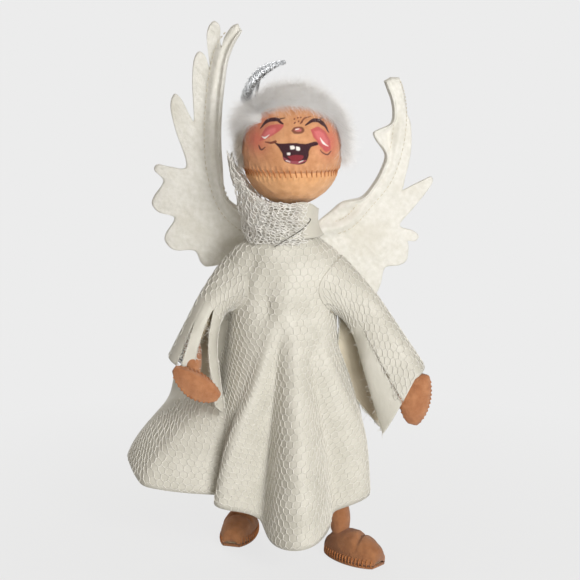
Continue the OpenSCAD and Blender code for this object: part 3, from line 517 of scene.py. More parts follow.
def facePaint(points):
    p = points.reshape(-1, 3) - headMid
    x, z = p[:, 0], p[:, 2]
    wobble = 0.14 * ripple(stacked([x, z, 0 * x]), 2.4, 11)
    x, z = x + wobble, z + 0.7 * wobble
    seen = p[:, 1] < 2
    colour = np.zeros((len(p), 3))
    cover = np.zeros(len(p))
    dots = [("brown", "stroke", [(a, b), (a + 0.12, b + 0.1)], [0.55, 0.5], 0.9) for a, b in freckles]
    for tint, kind, line, size, strength in faceStrokes + dots:
        if kind == "cloud":
            amount = np.exp(-((x - line[0][0]) / size[0]) ** 2 - ((z - line[0][1]) / size[1]) ** 2)
        elif kind == "patch":
            amount = patchCover(x, z, line, size)
        else:
            amount = strokeCover(x, z, line, size)
        amount = amount * strength * seen
        rgb = np.array(linear(paint[tint])[:3])
        total = amount + cover * (1 - amount)
        share = (amount / np.maximum(total, 1e-6))[:, None]
        colour = colour * (1 - share) + rgb * share
        cover = total
    return {"paintColour": np.hstack([colour, np.ones((len(p), 1))]), "paintCover": cover}


# peach felt with acrylic paint brushed on: the paint lies flatter and a little glossier than the felt
def paintedFelt():
    finish = peachFelt.copy()
    finish.name = "paintedPeachFelt"
    tree = finish.node_tree
    shader = tree.nodes["Principled BSDF"]
    felt = shader.inputs["Base Color"].links[0].from_socket
    tint = add(tree, "ShaderNodeAttribute", attribute_name="paintColour").outputs["Color"]
    cover = add(tree, "ShaderNodeAttribute", attribute_name="paintCover").outputs["Fac"]
    colour = add(tree, "ShaderNodeMix", {0: cover, 6: felt, 7: tint}, data_type="RGBA").outputs[2]
    gloss = add(tree, "ShaderNodeMapRange", {"Value": cover, "To Min": 0.95, "To Max": 0.45})
    plug(tree, shader, {"Base Color": colour, "Roughness": gloss.outputs[0]})
    return finish


neckLat, crownLat = -74, 89.5
facePiece = headPanel("faceFelt", np.linspace(seamLat, crownLat, 230), True,
                      ["face_panel", "head_stuffing"], paintedFelt(), facePaint, 340)
# the chin takes the brighter felt that paints light onto it
chinPiece = headPanel("paintedLightChinFelt", np.linspace(neckLat, seamLat, 70), True, ["chin_gusset"], paintedLightChinFelt)
backPiece = headPanel("backFelt", np.linspace(neckLat, crownLat, 120), False, ["head_back"], peachFelt)


# overcast thread across the chin seam: short arcs from panel to panel
def chinStitches():
    count = round(np.pi * headSet["wide"] / headSet["stitchGap"])
    turn = np.arange(-178, -1, 180 / count)[:, None]
    f = np.linspace(0, 1, 7)[None]
    lat = seamLat + headSet["stitchHalf"] * (1 - 2 * f)
    slant = turn + 2.2 * (f - 0.5)
    points = eggAt(lat, slant)
    sunk = headSkin(lat, slant)
    lift = np.sin(np.pi * f)[..., None]
    paths = sunk * (1 - lift) + (0.4 * points + 0.6 * sunk) * lift
    return tubes(paths, headSet["stitchRadius"], 5)


addPiece("chinStitches", *chinStitches(), peachThread, "head", "felt_peach")
print("head made")


# fleece wig: a thick fuzzy cap on the upper head, and thousands of fine fibres combed over it.
# the hairline lies in a plane that slopes from the forehead to the nape
hairSet = dict(slopeZ=156, slope=44, rise=2.0, reach=83)


def overHairline(p):
    return (p[..., 1] - 1) * sind(hairSet["slope"]) + (p[..., 2] - hairSet["slopeZ"]) * cosd(hairSet["slope"])


# cap: rings about the hairline plane's own pole, puffed up by noise and rolled in at the rim
def hairCap():
    rows, cols = 60, 180
    pole = unit(np.array([0, sind(hairSet["slope"]), cosd(hairSet["slope"])]))
    side = np.array([1.0, 0, 0])
    up = np.cross(pole, side)
    t = np.linspace(0, 1, rows)[:, None]
    a = np.linspace(0, 360, cols, endpoint=False)[None]
    reach = hairSet["reach"] * t + 0 * a
    outwards = cosd(a)[..., None] * side + sind(a)[..., None] * up
    d = cosd(reach)[..., None] * pole + sind(reach)[..., None] * outwards
    base = headMid + d * headHalf
    puff = hairSet["rise"] * np.sqrt(np.clip(1 - t ** 6, 0, 1)) + 0.35 * ripple(base, 5, 5) * (1 - t ** 4)
    outer = base + d * np.maximum(puff, 0.25)[..., None]
    inner = base + d * 0.15
    ring = np.concatenate([outer, inner[::-1]], 0)
    return ringBody(ring)


capPiece = addPiece("fleeceCap", *hairCap(), fleeceMat, "head", "fleece", ["hair"], closed=True)


# fibres: roots scattered over part of the head, each curling from its root along a combed direction
def hairFibres(count, seed, rule, comb, length, width, stand, curl, lift=0.6):
    r = np.random.default_rng(seed)
    d = unit(r.normal(size=(count * 14, 3)))
    root = headMid + d * headHalf
    keep = rule(root)
    d, root = d[keep][:count], root[keep][:count]
    n = len(root)
    flow = comb(root)
    flow = flow - d * np.sum(flow * d, -1, keepdims=True)
    way = unit(unit(flow) + r.normal(size=(n, 3)) * 0.3)
    away = unit(way + d * r.uniform(stand[0], stand[1], (n, 1)))
    bend = unit(np.cross(away, r.normal(size=(n, 3)))) * r.uniform(0.2, 1, (n, 1)) * curl
    size = r.uniform(length[0], length[1], (n, 1))
    t = np.linspace(0, 1, 5)[None, :, None]
    path = (root + d * lift)[:, None] + size[:, None] * (t * away[:, None] + t ** 2 * bend[:, None])
    path = path + (np.sin(t * 9 + r.uniform(0, 6, (n, 1, 1))) * bend[:, None]) * size[:, None] * 0.06
    # pushed out of the head where a fibre would dip below the felt
    k = headHalf + 0.25
    off = (path - headMid) / k
    path = headMid + off / np.minimum(np.linalg.norm(off, axis=-1, keepdims=True), 1) * k
    w = width * (1 - 0.8 * t[..., 0]) * r.uniform(0.7, 1.3, (n, 1))
    return ribbons(path, w, unit(d + 0.35 * r.normal(size=(n, 3))))


def combOver(p):
    q = p - headMid
    return stacked([0.75 + 0.05 * q[:, 0], -0.85 + 0 * q[:, 0], 0.25 - 0.02 * np.abs(q[:, 0])])


def combDown(p):
    q = p - headMid
    return stacked([0.35 * np.sign(q[:, 0]), 0.1 + 0 * q[:, 0], -1 + 0 * q[:, 0]])


def combBack(p):
    q = p - headMid
    return stacked([0.3 * np.sign(q[:, 0]), 0.5 + 0 * q[:, 0], -0.9 + 0 * q[:, 0]])


def combLeft(p):
    return np.broadcast_to(np.array([-1.0, -0.2, 0.35]), p.shape)


# parts as finish, count, seed, where the roots lie, comb, lengths, width, how far they stand and curl
fleeceParts = [
    ("fringeFleece", fleeceHair, 22000, 31, lambda p: (overHairline(p) > -0.3) & (p[:, 1] < 3), combOver,
     (3, 7), 0.08, (0.03, 0.4), 0.45),
    ("crownFleece", fleeceHair, 22000, 32, lambda p: (overHairline(p) > 0.5) & (p[:, 1] > -4), combBack,
     (3, 7), 0.08, (0.05, 0.45), 0.5),
    ("wispFleece", fleeceHair, 3000, 35, lambda p: overHairline(p) > 1, combOver,
     (5, 9), 0.05, (0.2, 0.9), 0.8),
    ("tuftFleece", fleeceHair, 9000, 36,
     lambda p: (np.abs(p[:, 0] + 12.5) < 3) & (np.abs(p[:, 2] - 164) < 3.5) & (p[:, 1] < 6), combLeft,
     (6, 12), 0.08, (0.0, 0.2), 0.15),
    ("rightCheekFleece", fleeceHair, 7000, 33,
     lambda p: (p[:, 0] > 12.5) & (p[:, 1] > -6) & (p[:, 1] < 9) & (p[:, 2] > 149), combDown,
     (3, 8), 0.08, (0.1, 0.6), 0.5),
    # this side's fleece takes the darker fibres that paint the shade on it
    ("leftCheekFleece", paintedShadeHair, 8000, 34,
     lambda p: (p[:, 0] < -11.5) & (p[:, 1] > -6) & (p[:, 1] < 9) & (p[:, 2] > 146), combDown,
     (2.5, 5), 0.07, (0.03, 0.3), 0.5),
]
for name, finish, *fibre in fleeceParts:
    addPiece(name, *hairFibres(*fibre), finish, "head", "fleece")
print("wig made")


# halo: a ring of tinsel, bent out of its plane and thinner at its upper end, with foil strips wound both ways
# round a wire
haloSet = dict(mid=(-10, 4.5, 175.8), ring=9.4, tilt=44, bow=3, taper=0.55, core=1.15, foil=1.5, strips=8,
               turns=11, looseEnds=700, seed=41)


def ringAt(a, b, r):
    r = r * (1 - haloSet["taper"] * smooth((cosd(a) - 0.2) / 0.8))
    reach = haloSet["ring"] + r * cosd(b)
    x, y, z = reach * cosd(a), reach * sind(a), r * sind(b) + haloSet["bow"] * (0.6 - cosd(a) ** 2)
    c, s = cosd(-haloSet["tilt"]), sind(-haloSet["tilt"])
    return np.array(haloSet["mid"]) + stacked([x * c + z * s, y, z * c - x * s])


def haloCore():
    rows, cols = 120, 20
    a = np.linspace(0, 360, rows, endpoint=False)[:, None]
    b = np.linspace(0, 360, cols, endpoint=False)[None]
    p = ringAt(a, b, haloSet["core"] + 0.12 * sind(5 * b + 40 * a))
    return p, [gridFaces(rows + 1, cols, True) % (rows * cols)]  # the last ring is the first again


def haloFoil():
    r = np.random.default_rng(haloSet["seed"])
    k, n = haloSet["strips"], 520
    a = np.linspace(0, 360, n)[None]
    parts = []
    for way in (1, -1):
        start = (np.arange(k) * 360 / k)[:, None]
        b = start + way * haloSet["turns"] * a + 8 * np.sin(np.radians(a * 7 + start))
        rad = haloSet["foil"] + 0.22 * np.sin(np.radians(a * 11 + start * 3)) + (0.1 if way > 0 else -0.05)
        wound, above = (ringAt(a + 0 * b, b, rad + up) for up in (0, 1))
        parts.append(tubes(wound, 0.3, 4, ref=above - wound, flat=0.15))
    # loose ends of foil standing off the roll
    m = haloSet["looseEnds"]
    a = r.uniform(0, 360, (m, 1))
    b = r.uniform(0, 360, (m, 1))
    f = np.linspace(0, 1, 4)[None]
    path = ringAt(a + r.uniform(-9, 9, (m, 1)) * f, b + r.uniform(-50, 50, (m, 1)) * f,
                  1.4 + r.uniform(0.2, 1.0, (m, 1)) * f)
    parts.append(tubes(path, 0.2 * (1 - 0.6 * f) + 0 * a, 4, flat=0.15))
    return joined(parts)


addPiece("haloRoll", *haloCore(), drawnWire, "halo", "tinsel", ["halo"], closed=True)
addPiece("haloFoil", *haloFoil(), foil, "halo", "tinsel")
print("halo made")


# gown: an oval tube that widens from neck to hem, with bell-shaped folds that deepen downwards
# and one panel thrown far out to the side; u goes round, v from neck to hem
gownSet = dict(
    axisX=-2, foldDepth=6, wall=0.45, hemRise=14, hemLowAt=266, hemLowWide=(32, 56), gatherAt=278,
    skirtFrom=0.42, foldFrom=0.52, hemFrom=0.6,
    train=dict(reach=34, at=172, aboveAt=157, aboveWide=12.5, endWide=24, frontWide=16, backWide=17,
               endShare=0.8, creaseFrom=0.79, lift=7.5),
    # rings as height, then half widths to the doll's left, right, front and back
    rings=[[121.5, 9.5, 9.5, 9.5, 9.5], [118, 12, 12.5, 10.8, 11], [113.5, 18, 18.5, 12.4, 12.4],
           [108.5, 20.8, 20.8, 14, 13], [100, 18.4, 19.3, 15.4, 14], [90, 18.4, 19, 17, 15.5],
           [78, 19.2, 20, 19, 18], [60, 24, 22.3, 22, 22], [40, 28, 24.5, 26, 27], [12, 28.5, 26, 30, 32]],
    # folds as angle, width in degrees, share of the depth, and share by which each runs to the gather in front
    folds=[(280, 16, 1.3, 0.7), (247, 15, -1.5, 0.75), (223, 9, 1.0, 0.75), (315, 11, -0.8, 0.6),
           (343, 12, 0.6, 0.6), (20, 14, -0.5, 0), (52, 13, 0.7, 0), (82, 12, -0.7, 0), (108, 12, 0.8, 0),
           (133, 9, 0.9, 0)],
    # soft dents of the cloth as angle, height, width in degrees, height and depth in millimetres
    dents=[(247, 95, 11, 5, -1.8), (222, 110, 12, 4, -1.2), (292, 92, 14, 4, -1.5), (302, 85, 10, 3, 1.2),
           (272, 101, 14, 5, 0.9), (232, 102, 9, 4, 0.8), (310, 80, 7, 7, -1.3), (325, 100, 9, 10, 0.9)],
    holeZ=101, holeHalf=8.6, holeTurn=25)


# share of the train's reach: a plain swell above, creased towards the hem into an end face, a front face and a
# rounded back; the crease is the smooth minimum of the two faces
def trainShare(u, v):
    t = gownSet["train"]
    d = turned(u - t["at"])
    end = 1 - (1 - t["endShare"]) * np.abs(d) / t["endWide"]
    front = t["endShare"] * (1 - (d - t["endWide"]) / t["frontWide"])
    crease = -np.logaddexp(-30 * end, -30 * front) / 30
    above = bell(turned(u - t["aboveAt"]), t["aboveWide"])
    low = np.where(d < 0, bell(d, t["backWide"]), np.maximum(0, crease))
    return above + (low - above) * smooth((v - t["creaseFrom"]) / (1 - t["creaseFrom"]))


def gownAt(u, v):
    g0 = gownSet
    u, v = np.broadcast_arrays(np.asarray(u, float), np.asarray(v, float))
    g = curved(g0["rings"], v)
    c, s = cosd(u), sind(u)
    a = np.where(c > 0, g[..., 1], g[..., 2])
    b = np.where(s < 0, g[..., 3], g[..., 4])
    r = 1 / np.sqrt((c / a) ** 2 + (s / b) ** 2)
    down = np.maximum(0, v - g0["skirtFrom"]) / (1 - g0["skirtFrom"])
    deep = g0["foldDepth"] * smooth((v - g0["foldFrom"]) / (1 - g0["foldFrom"]))
    for at, wide, share, run in g0["folds"]:
        near = run * np.minimum(0.8, 2 * (1 - v))
        away = turned(u - at - (g0["gatherAt"] - at) * near)
        r = r + deep * share * bell(away, wide * (1 - 0.5 * near))
    r = r + sum(d[4] * bell(turned(u - d[0]), d[2]) * bell(g[..., 0] - d[1], d[3]) for d in g0["dents"])
    r = r + g0["train"]["reach"] * down ** 1.2 * trainShare(u, v)
    away = turned(u - g0["hemLowAt"])
    rise = g0["hemRise"] * (1 - bell(away, np.where(away < 0, *g0["hemLowWide"])))
    rise = rise + g0["train"]["lift"] * bell(turned(u - g0["train"]["at"]), g0["train"]["endWide"])
    return stacked([g0["axisX"] + r * c, r * s, g[..., 0] + smooth((v - g0["hemFrom"]) / (1 - g0["hemFrom"])) * rise])


# the fraction down the gown at which its rings reach a height
def gownDown(z):
    v = np.linspace(0, 1, 400)
    return np.interp(-np.asarray(z), -curved(gownSet["rings"], v)[:, 0], v)


def gownOut(u, v, d):
    return gownAt(u, v) + d * normalOf(gownAt, u, v)


def inArmhole(u, v, grow=1.0):
    z = curved(gownSet["rings"], v)[..., 0]
    side = np.minimum(np.abs(turned(u)), np.abs(turned(u - 180)))
    across = side / (gownSet["holeTurn"] * grow)
    high = (z - gownSet["holeZ"]) / (gownSet["holeHalf"] * grow)
    return across ** 2 + high ** 2 < 1


def gownCloth():
    rows = 130
    # columns lie closer where the train creases
    u = np.concatenate([np.arange(0, 126, 1.5), np.arange(126, 186, 0.8), np.arange(186, 216, 0.3),
                        np.arange(216, 360, 1)])[None]
    v = np.linspace(0, 1, rows)[:, None]
    p = gownOut(u, v, 0.7)
    faces = gridFaces(rows, u.shape[1], True)
    uu, vv = (x.ravel() for x in np.broadcast_arrays(u, v))
    hole = inArmhole(uu, vv)[faces].all(1)
    return p, faces[~hole][:, ::-1]


gownPoints, gownFaces = gownCloth()
satinGown = addPiece("satinGown", gownPoints, gownFaces, pearlSatin, "torso", "satin", ["gown"],
                     thick=gownSet["wall"])


# honeycomb net laid flat: each cell gives three of its six sides, as pairs of places across and down
def honeycomb(wide, tall, pitch, seed=0, stray=0.06):
    side = pitch / math.sqrt(3)
    rows, cols = int(tall / (1.5 * side)) + 2, int(wide / pitch) + 3
    j, i = np.meshgrid(np.arange(rows), np.arange(cols), indexing="ij")
    mid = stacked([(i + 0.5 * (j % 2)) * pitch - wide / 2 - pitch, j * 1.5 * side]).reshape(-1, 2)
    corners = ((0, -side), (pitch / 2, -side / 2), (pitch / 2, side / 2), (-pitch / 2, -side / 2))
    top, right, low, left = (np.array(c) for c in corners)
    ends = np.concatenate([np.stack([mid + a, mid + b], 1)
                           for a, b in ((top, right), (right, low), (left, top))])
    r = np.random.default_rng(seed)
    wave = r.uniform(0, 6.28, 4)
    x, y = ends[..., 0].copy(), ends[..., 1].copy()
    ends[..., 0] += stray * pitch * (np.sin(y / 7 + wave[0]) * 4 + np.sin(x * 2.1 + y * 1.7 + wave[1]))
    ends[..., 1] += stray * pitch * (np.sin(x / 9 + wave[2]) * 4 + np.sin(x * 1.9 - y * 2.3 + wave[3]))
    return ends


# a flat panel read back onto a hanging surface: down along the panel's middle line, then across by true length
def panelMap(surface, centre, half, flat, rows=260, cols=721):
    us = centre + np.linspace(-half, half, cols)
    vs = np.linspace(0, 1, rows)
    p = surface(us[None], vs[:, None])
    across = np.concatenate([np.zeros((rows, 1)), np.cumsum(np.linalg.norm(np.diff(p, axis=1), axis=-1), 1)], 1)
    across -= across[:, cols // 2:cols // 2 + 1]
    down = np.concatenate([[0], np.cumsum(np.linalg.norm(np.diff(p[:, cols // 2], axis=0), axis=-1))])
    x, y = flat[..., 0].ravel(), flat[..., 1].ravel()
    v = np.interp(y, down, vs)
    j = np.clip(np.round(v * (rows - 1)).astype(int), 0, rows - 1)
    big = 4000.0
    keys = (across + big * np.arange(rows)[:, None]).ravel()
    i = np.clip(np.searchsorted(keys, x + big * j) - j * cols, 1, cols - 1)
    x0, x1 = across[j, i - 1], across[j, i]
    u = us[i - 1] + (us[i] - us[i - 1]) * np.clip((x - x0) / np.maximum(x1 - x0, 1e-6), 0, 1)
    good = (x > across[j, 0]) & (x < across[j, -1]) & (y >= 0) & (y <= down[-1])
    shape = flat.shape[:-1]
    return u.reshape(shape), v.reshape(shape), good.reshape(shape).all(-1)


# panels of the gown's net as middle angle, half angle, width and length; bare is where it is left off the train
netSet = dict(pitch=2.7, thread=0.125, lift=0.82, sleeveLift=0.78, bareFrom=0.6, bareAt=150, bareHalf=24,
              panels=[(270, 100, 230, 116), (90, 80, 330, 120)])


# net over a surface: the honeycomb's sides as thin square threads raised along the surface's normal
def netOver(surface, panels, lift, cut, side=1, seed=0, pitch=None, wave=0.02):
    starts = []
    for k, (centre, half, wide, tall) in enumerate(panels):
        flat = honeycomb(wide, tall, pitch or netSet["pitch"], seed + k)
        u, v, good = panelMap(surface, centre, half, flat)
        good &= ~cut(u, v).any(-1)
        u, v = u[good], v[good]
        out = normalOf(surface, u, v, side=side)
        base = surface(u, v)
        high = lift + wave * ripple(base, 8, seed + 9)
        starts.append(np.stack([base + out * high[..., None], out], 2))
    both = np.concatenate(starts)
    paths, out = both[:, :, 0], both[:, :, 1]
    return tubes(paths, netSet["thread"] * math.sqrt(2), 4, ref=out, cap=False), len(paths)


# where the gown's net is cut away: at the armholes and on the flank of the train
def gownNetCut(u, v):
    bare = (v > netSet["bareFrom"]) & (np.abs(turned(u - netSet["bareAt"])) < netSet["bareHalf"])
    return inArmhole(u, v, 0.96) | bare


netBody, netSides = netOver(gownAt, netSet["panels"], netSet["lift"], gownNetCut, seed=51)
gownNet = addPiece("gownNet", *netBody, netThread, "torso", "net", ["gown_net"])
print("gown made")


# sleeves: snug over the arm, hanging in a bell below it, sewn to the gown round the armhole.
# u goes round from the top of the arm, v from shoulder to wrist; a slit parts the cloth at an angle, from a
# fraction down, by a half width in degrees, and runs on round by a slant; plain is where no net lies, as two
# angles and the fraction down; part and flap are how far the cloth beside the low slit swings in and forward
sleeveSet = dict(
    snug=4.6, mouth=8.2, wall=0.4,
    left=dict(side=1, top=(20, -2.2, 106), wrist=(45, -6, 69),
              low=[(20.5, -2.5, 96), (26.8, -5, 73), (34, -7.5, 48.5)],
              slits=[(-180, 0.1, 8, 0), (-122, 0.3, 1.2, 8)], plain=(-180, -122, 0.3), part=9, flap=6,
              bend=((17, 0, 100), (30, 0, 97))),
    right=dict(side=-1, top=(-23, -2.2, 106), wrist=(-39.4, -9.9, 74.2),
               low=[(-20.6, -1.5, 101), (-27, -7.5, 82), (-24.2, -16, 57)],
               slits=[(-104, 0.34, 19, -22), (-60, 0.56, 10, -24)], plain=(-160, -30, 0.34), part=0, flap=0,
               bend=((-21, 0, 100), (-34, 0, 97))))


def sleeveAt(s, u, v):
    u, v = np.broadcast_arrays(np.asarray(u, float), np.asarray(v, float))
    top, wrist = np.array(s["top"], float), np.array(s["wrist"], float)
    up = unit(np.cross(wrist - top, [0, 1, 0]))
    up = up * np.sign(up[2])
    mid = top + (wrist - top) * v[..., None]
    c = cosd(u)[..., None]
    hang = curved(s["low"], v) - mid
    p = mid + np.where(c > 0, up * sleeveSet["snug"] * c, -hang * c)
    depth = sleeveSet["snug"] + 0.6 + (sleeveSet["mouth"] - sleeveSet["snug"]) * v
    p[..., 1] += depth * sind(u)
    # behind the slit along the low line the back panel swings in towards the gown
    m = u % 360
    swing = s["part"] * sind(180 * np.clip((v - 0.1) / 0.9, 0, 1)) * smooth((m - 100) / 70) * (m <= 180)
    p[..., 0] -= s["side"] * swing
    # and the strip in front of it hangs forward
    p[..., 1] -= s["flap"] * smooth((v - 0.1) / 0.5) * np.clip((270 - m) / 90, 0, 1) * (m > 180)
    # the first stretch runs out from the armhole in the gown
    turn = np.where(sind(u) < 0, 1.8, 1.1) * gownSet["holeTurn"] * sind(u)
    z = gownSet["holeZ"] + 1.2 * gownSet["holeHalf"] * cosd(u)
    rim = gownOut(turn if s["side"] > 0 else 180 - turn, gownDown(z), 0.5)
    w = smooth(v / 0.36)[..., None]
    return rim * (1 - w) + p * w


def slitGap(v, slit):
    return slit[2] * np.clip((v - slit[1]) / (1.02 - slit[1]), 0, 1) ** 0.55


def slitLine(v, slit):
    return slit[0] + slit[3] * np.clip((v - slit[1]) / (1 - slit[1]), 0, 1)


def sleeveCloth(s, offset):
    surface = partial(sleeveAt, s)
    rows = 64
    v = np.linspace(0, 1, rows)[:, None]
    slits = sorted(s["slits"])
    parts, edges = [], []
    for k, slit in enumerate(slits):
        after = slits[(k + 1) % len(slits)]
        end = slitLine(v, after) + (360 if after[0] <= slit[0] else 0)
        cols = int((end - slitLine(v, slit)).max() / 2.6) + 3
        a, b = slitLine(v, slit) + slitGap(v, slit), end - slitGap(v, after)
        u = a + (b - a) * np.linspace(0, 1, cols)[None]
        vv = v + 0 * u
        p = surface(u, vv) + offset * normalOf(surface, u, vv, side=s["side"])
        parts.append((p, gridFaces(rows, cols)))
        edges += [(p[:, 0], p[:, 1], slit[1]), (p[:, -1], p[:, -2], after[1])]
    points, groups = joined(parts)
    faces = np.vstack(groups)
    return points, (faces if s["side"] < 0 else faces[:, ::-1]), edges


# frayed cut edges: short weft threads that stick out of the cloth
def frayed(edges, seed, perMm=3.2):
    r = np.random.default_rng(seed)
    paths = []
    for line, inner, start in edges:
        f = np.linspace(0, 1, len(line))
        long = np.linalg.norm(np.diff(line, axis=0), axis=-1).sum()
        at = np.sort(r.uniform(start, 1, int(long * perMm)))
        root = stacked([np.interp(at, f, line[:, k]) for k in range(3)])
        back = stacked([np.interp(at, f, inner[:, k]) for k in range(3)])
        outwards = unit(root - back)
        out = outwards + 0.5 * r.normal(size=root.shape)
        size = r.uniform(0.4, 1.5, (len(at), 1)) * smooth((at - start) * 6)[:, None]
        t = np.linspace(0, 1, 4)[None, :, None]
        bend = r.normal(size=root.shape) * 0.35
        paths.append((root - outwards * 0.4)[:, None]
                     + size[:, None] * (t * out[:, None] + t ** 2 * bend[:, None]))
    return tubes(np.concatenate(paths), 0.06, 3)


# where a sleeve's net is cut away: at the shoulder, and on the torn strips in front
def sleeveNetCut(s, u, v):
    a, b, start = s["plain"]
    return (v < 0.02) | ((v > start) & (turned(u) > a) & (turned(u) < b))


sleevePieces = {}
for side in ("left", "right"):
    s, node = sleeveSet[side], side + "_sleeve"
    points, faces, edges = sleeveCloth(s, 0.6)
    cloth = addPiece(side + "SatinSleeve", points, faces, pearlSatin, None, "satin", [node],
                     thick=sleeveSet["wall"], lining=satinBack)
    fray = addPiece(side + "FrayedEdge", *frayed(edges, 61), frayThread, None, "satin")
    netBody, sides = netOver(partial(sleeveAt, s), [(0, 178, 150, 60)], netSet["sleeveLift"],
                             partial(sleeveNetCut, s), s["side"], 71)
    net = addPiece(side + "SleeveNet", *netBody, netThread, None, "net", [node + "_net"])
    start, end = (placed(p) for p in s["bend"])
    for piece in (cloth, fray, net):
        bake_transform(piece)
    sleevePieces[side] = (cloth, fray, net, sides)
print("sleeves made")


# collar: bunched net, crumpled in layers, standing high on the doll's right side. swells are a height, a stretch
# above it and what that adds to the radius; layers are a middle angle, a half angle and the distance out
collarSet = dict(low=117, front=133, rise=17, at=180, spread=34, pitch=2.2, middle=(-0.6, 0.4), radius=14.2,
                 swells=[(117, 14, 2.4), (131, 18, 4.2)], press=2.2, pressAt=285, pressWide=50,
                 layers=[(190, 100, 0.0), (200, 92, 0.8), (215, 84, 1.5)])


def collarAt(u, v, seed=0, grow=0.0):
    u, v = np.broadcast_arrays(np.asarray(u, float), np.asarray(v, float))
    c = collarSet
    high = c["front"] + c["rise"] * bell(turned(u - c["at"]), c["spread"])
    z = c["low"] + (high - c["low"]) * (1 - v)
    r = c["radius"] + sum(more * smooth((z - start) / over) for start, over, more in c["swells"])
    r = r - c["press"] * bell(turned(u - c["pressAt"]), c["pressWide"]) + grow
    p = stacked([c["middle"][0] + r * cosd(u), c["middle"][1] + r * sind(u), z])
    crumple = 0.8 * ripple(p, 6.5, 7 + seed) + 0.5 * ripple(p, 3, 17 + seed)
    slide = 0.9 * ripple(p, 5, 27 + seed)
    out = stacked([cosd(u), sind(u), 0 * u])
    return p + np.maximum(crumple, -0.7)[..., None] * out + slide[..., None] * np.array([0, 0, 0.6])


collarParts, collarSides = [], 0
for k, (centre, half, grow) in enumerate(collarSet["layers"]):
    part, count = netOver(lambda u, v: collarAt(u, v, k, grow), [(centre, half, 160, 40)], 0.0,
                          lambda u, v: v < 0, 1, 91 + 3 * k, pitch=collarSet["pitch"], wave=0.25)
    collarParts.append(part)
    collarSides += count
collarNet = addPiece("netCollar", *joined(collarParts), collarThread, "torso", "net", ["net_collar"])


# stand collar of plain satin round the neck, under the net: a band that leans out at its top edge, spreads with
# the cube of the way down, and waves a little where it is gathered
standSet = dict(half=130, axisX=-1.2, radius=10.6, low=119.5, high=129, peak=3.6, peakAt=-62, peakWide=38,
                lean=0.6, spread=2.6, wave=0.2, wall=0.5)


def standCollar(s):
    rows, cols = 16, 120
    u = np.linspace(-s["half"], s["half"], cols)[None]
    v = np.linspace(0, 1, rows)[:, None]
    high = s["high"] + s["peak"] * bell(turned(u - s["peakAt"]), s["peakWide"])
    r = s["radius"] + s["lean"] * (1 - v) ** 2 + s["spread"] * v ** 3 + s["wave"] * sind(u * 6) * (1 - v)
    z = high + (s["low"] - high) * v
    return stacked([s["axisX"] + r * cosd(u), r * sind(u), z + 0 * u]), gridFaces(rows, cols)


neckSatin = addPiece("standCollar", *standCollar(standSet), pearlSatin, "torso", "satin", thick=standSet["wall"])


# gathering thread: a wavy loop round the neck that rises where it is tied, with a loose tail across the chest
threadSet = dict(loop=11.3, axisX=-2, z=122.4, turns=(-40, 318), rise=4, riseWide=45, loopRadius=0.22,
                 tailRadius=0.15, tail=[(6.7, -7.3, 126.7), (7.2, -9.6, 125.8), (4, -13.4, 123),
                                        (-1, -15.4, 120), (-5.5, -15.9, 117.2)])


def neckThread(s):
    a = np.linspace(*s["turns"], 120)
    r = s["loop"] + 0.12 * sind(7 * a)
    z = s["z"] + 0.35 * sind(3 * a) + s["rise"] * bell(turned(a - s["turns"][0]), s["riseWide"])
    loop = stacked([s["axisX"] + r * cosd(a), r * sind(a), z])
    tail = curved(s["tail"], np.linspace(0, 1, 40))
    return joined([tubes(loop[None], s["loopRadius"], 6), tubes(tail[None], s["tailRadius"], 6)])


addPiece("neckThread", *neckThread(threadSet), darkThread, "torso", "thread", ["neck_thread"])
print("collar made")


# mitten hands: ovals along the hand, wider at the knuckles, rounded off at both ends, with a thumb sewn on.
# moon is the share by which the upper edge is drawn in to a half-moon; thumb is its place across, its depth and
# its slant
handSet = dict(long=19, wide=11.5, thick=6.6, thumbLong=9, thumb=2.3, seam=0.5, stitches=11, stitchRadius=0.22,
               left=dict(mid=(47, -9, 60), pitch=104, yaw=8, lean=1.4, moon=0, thumb=(-0.3, 0, 132)),
               right=dict(mid=(-32.7, -23, 70.2), pitch=33, yaw=0, lean=-1.2, moon=0.65,
                          thumb=(-0.2, 0.7, 88)))


# a point of the hand's own frame, pitched about y and turned about z into its place
def turnHand(p, s):
    c, n = cosd(s["pitch"]), sind(s["pitch"])
    q = stacked([p[..., 0] * c + p[..., 2] * n, p[..., 1], p[..., 2] * c - p[..., 0] * n])
    c, n = cosd(s["yaw"]), sind(s["yaw"])
    q = stacked([q[..., 0] * c - q[..., 1] * n, q[..., 0] * n + q[..., 1] * c, q[..., 2]])
    return q + np.array(s["mid"])


# ovals whose half width and thickness go with the root of a sine along the hand, drawn in at the edge seam
def mittenAt(t, a, s, grow=0.0):
    t, a = np.broadcast_arrays(t, a)
    off = np.maximum(0.02, sind(180 * (0.04 + 0.92 * t))) ** 0.5
    w = handSet["wide"] / 2 * off * (0.82 + 0.25 * sind(150 * t)) + grow
    w = w * np.where(sind(a) > 0, 1 - s["moon"], 1 + 0.5 * s["moon"])
    h = handSet["thick"] / 2 * off + grow
    seam = handSet["seam"] * bell(np.abs(sind(a)) - 1, 0.06)
    z = (w - seam) * sind(a) - s["lean"] * sind(180 * t)
    return stacked([handSet["long"] * (t - 0.5), h * cosd(a), z])


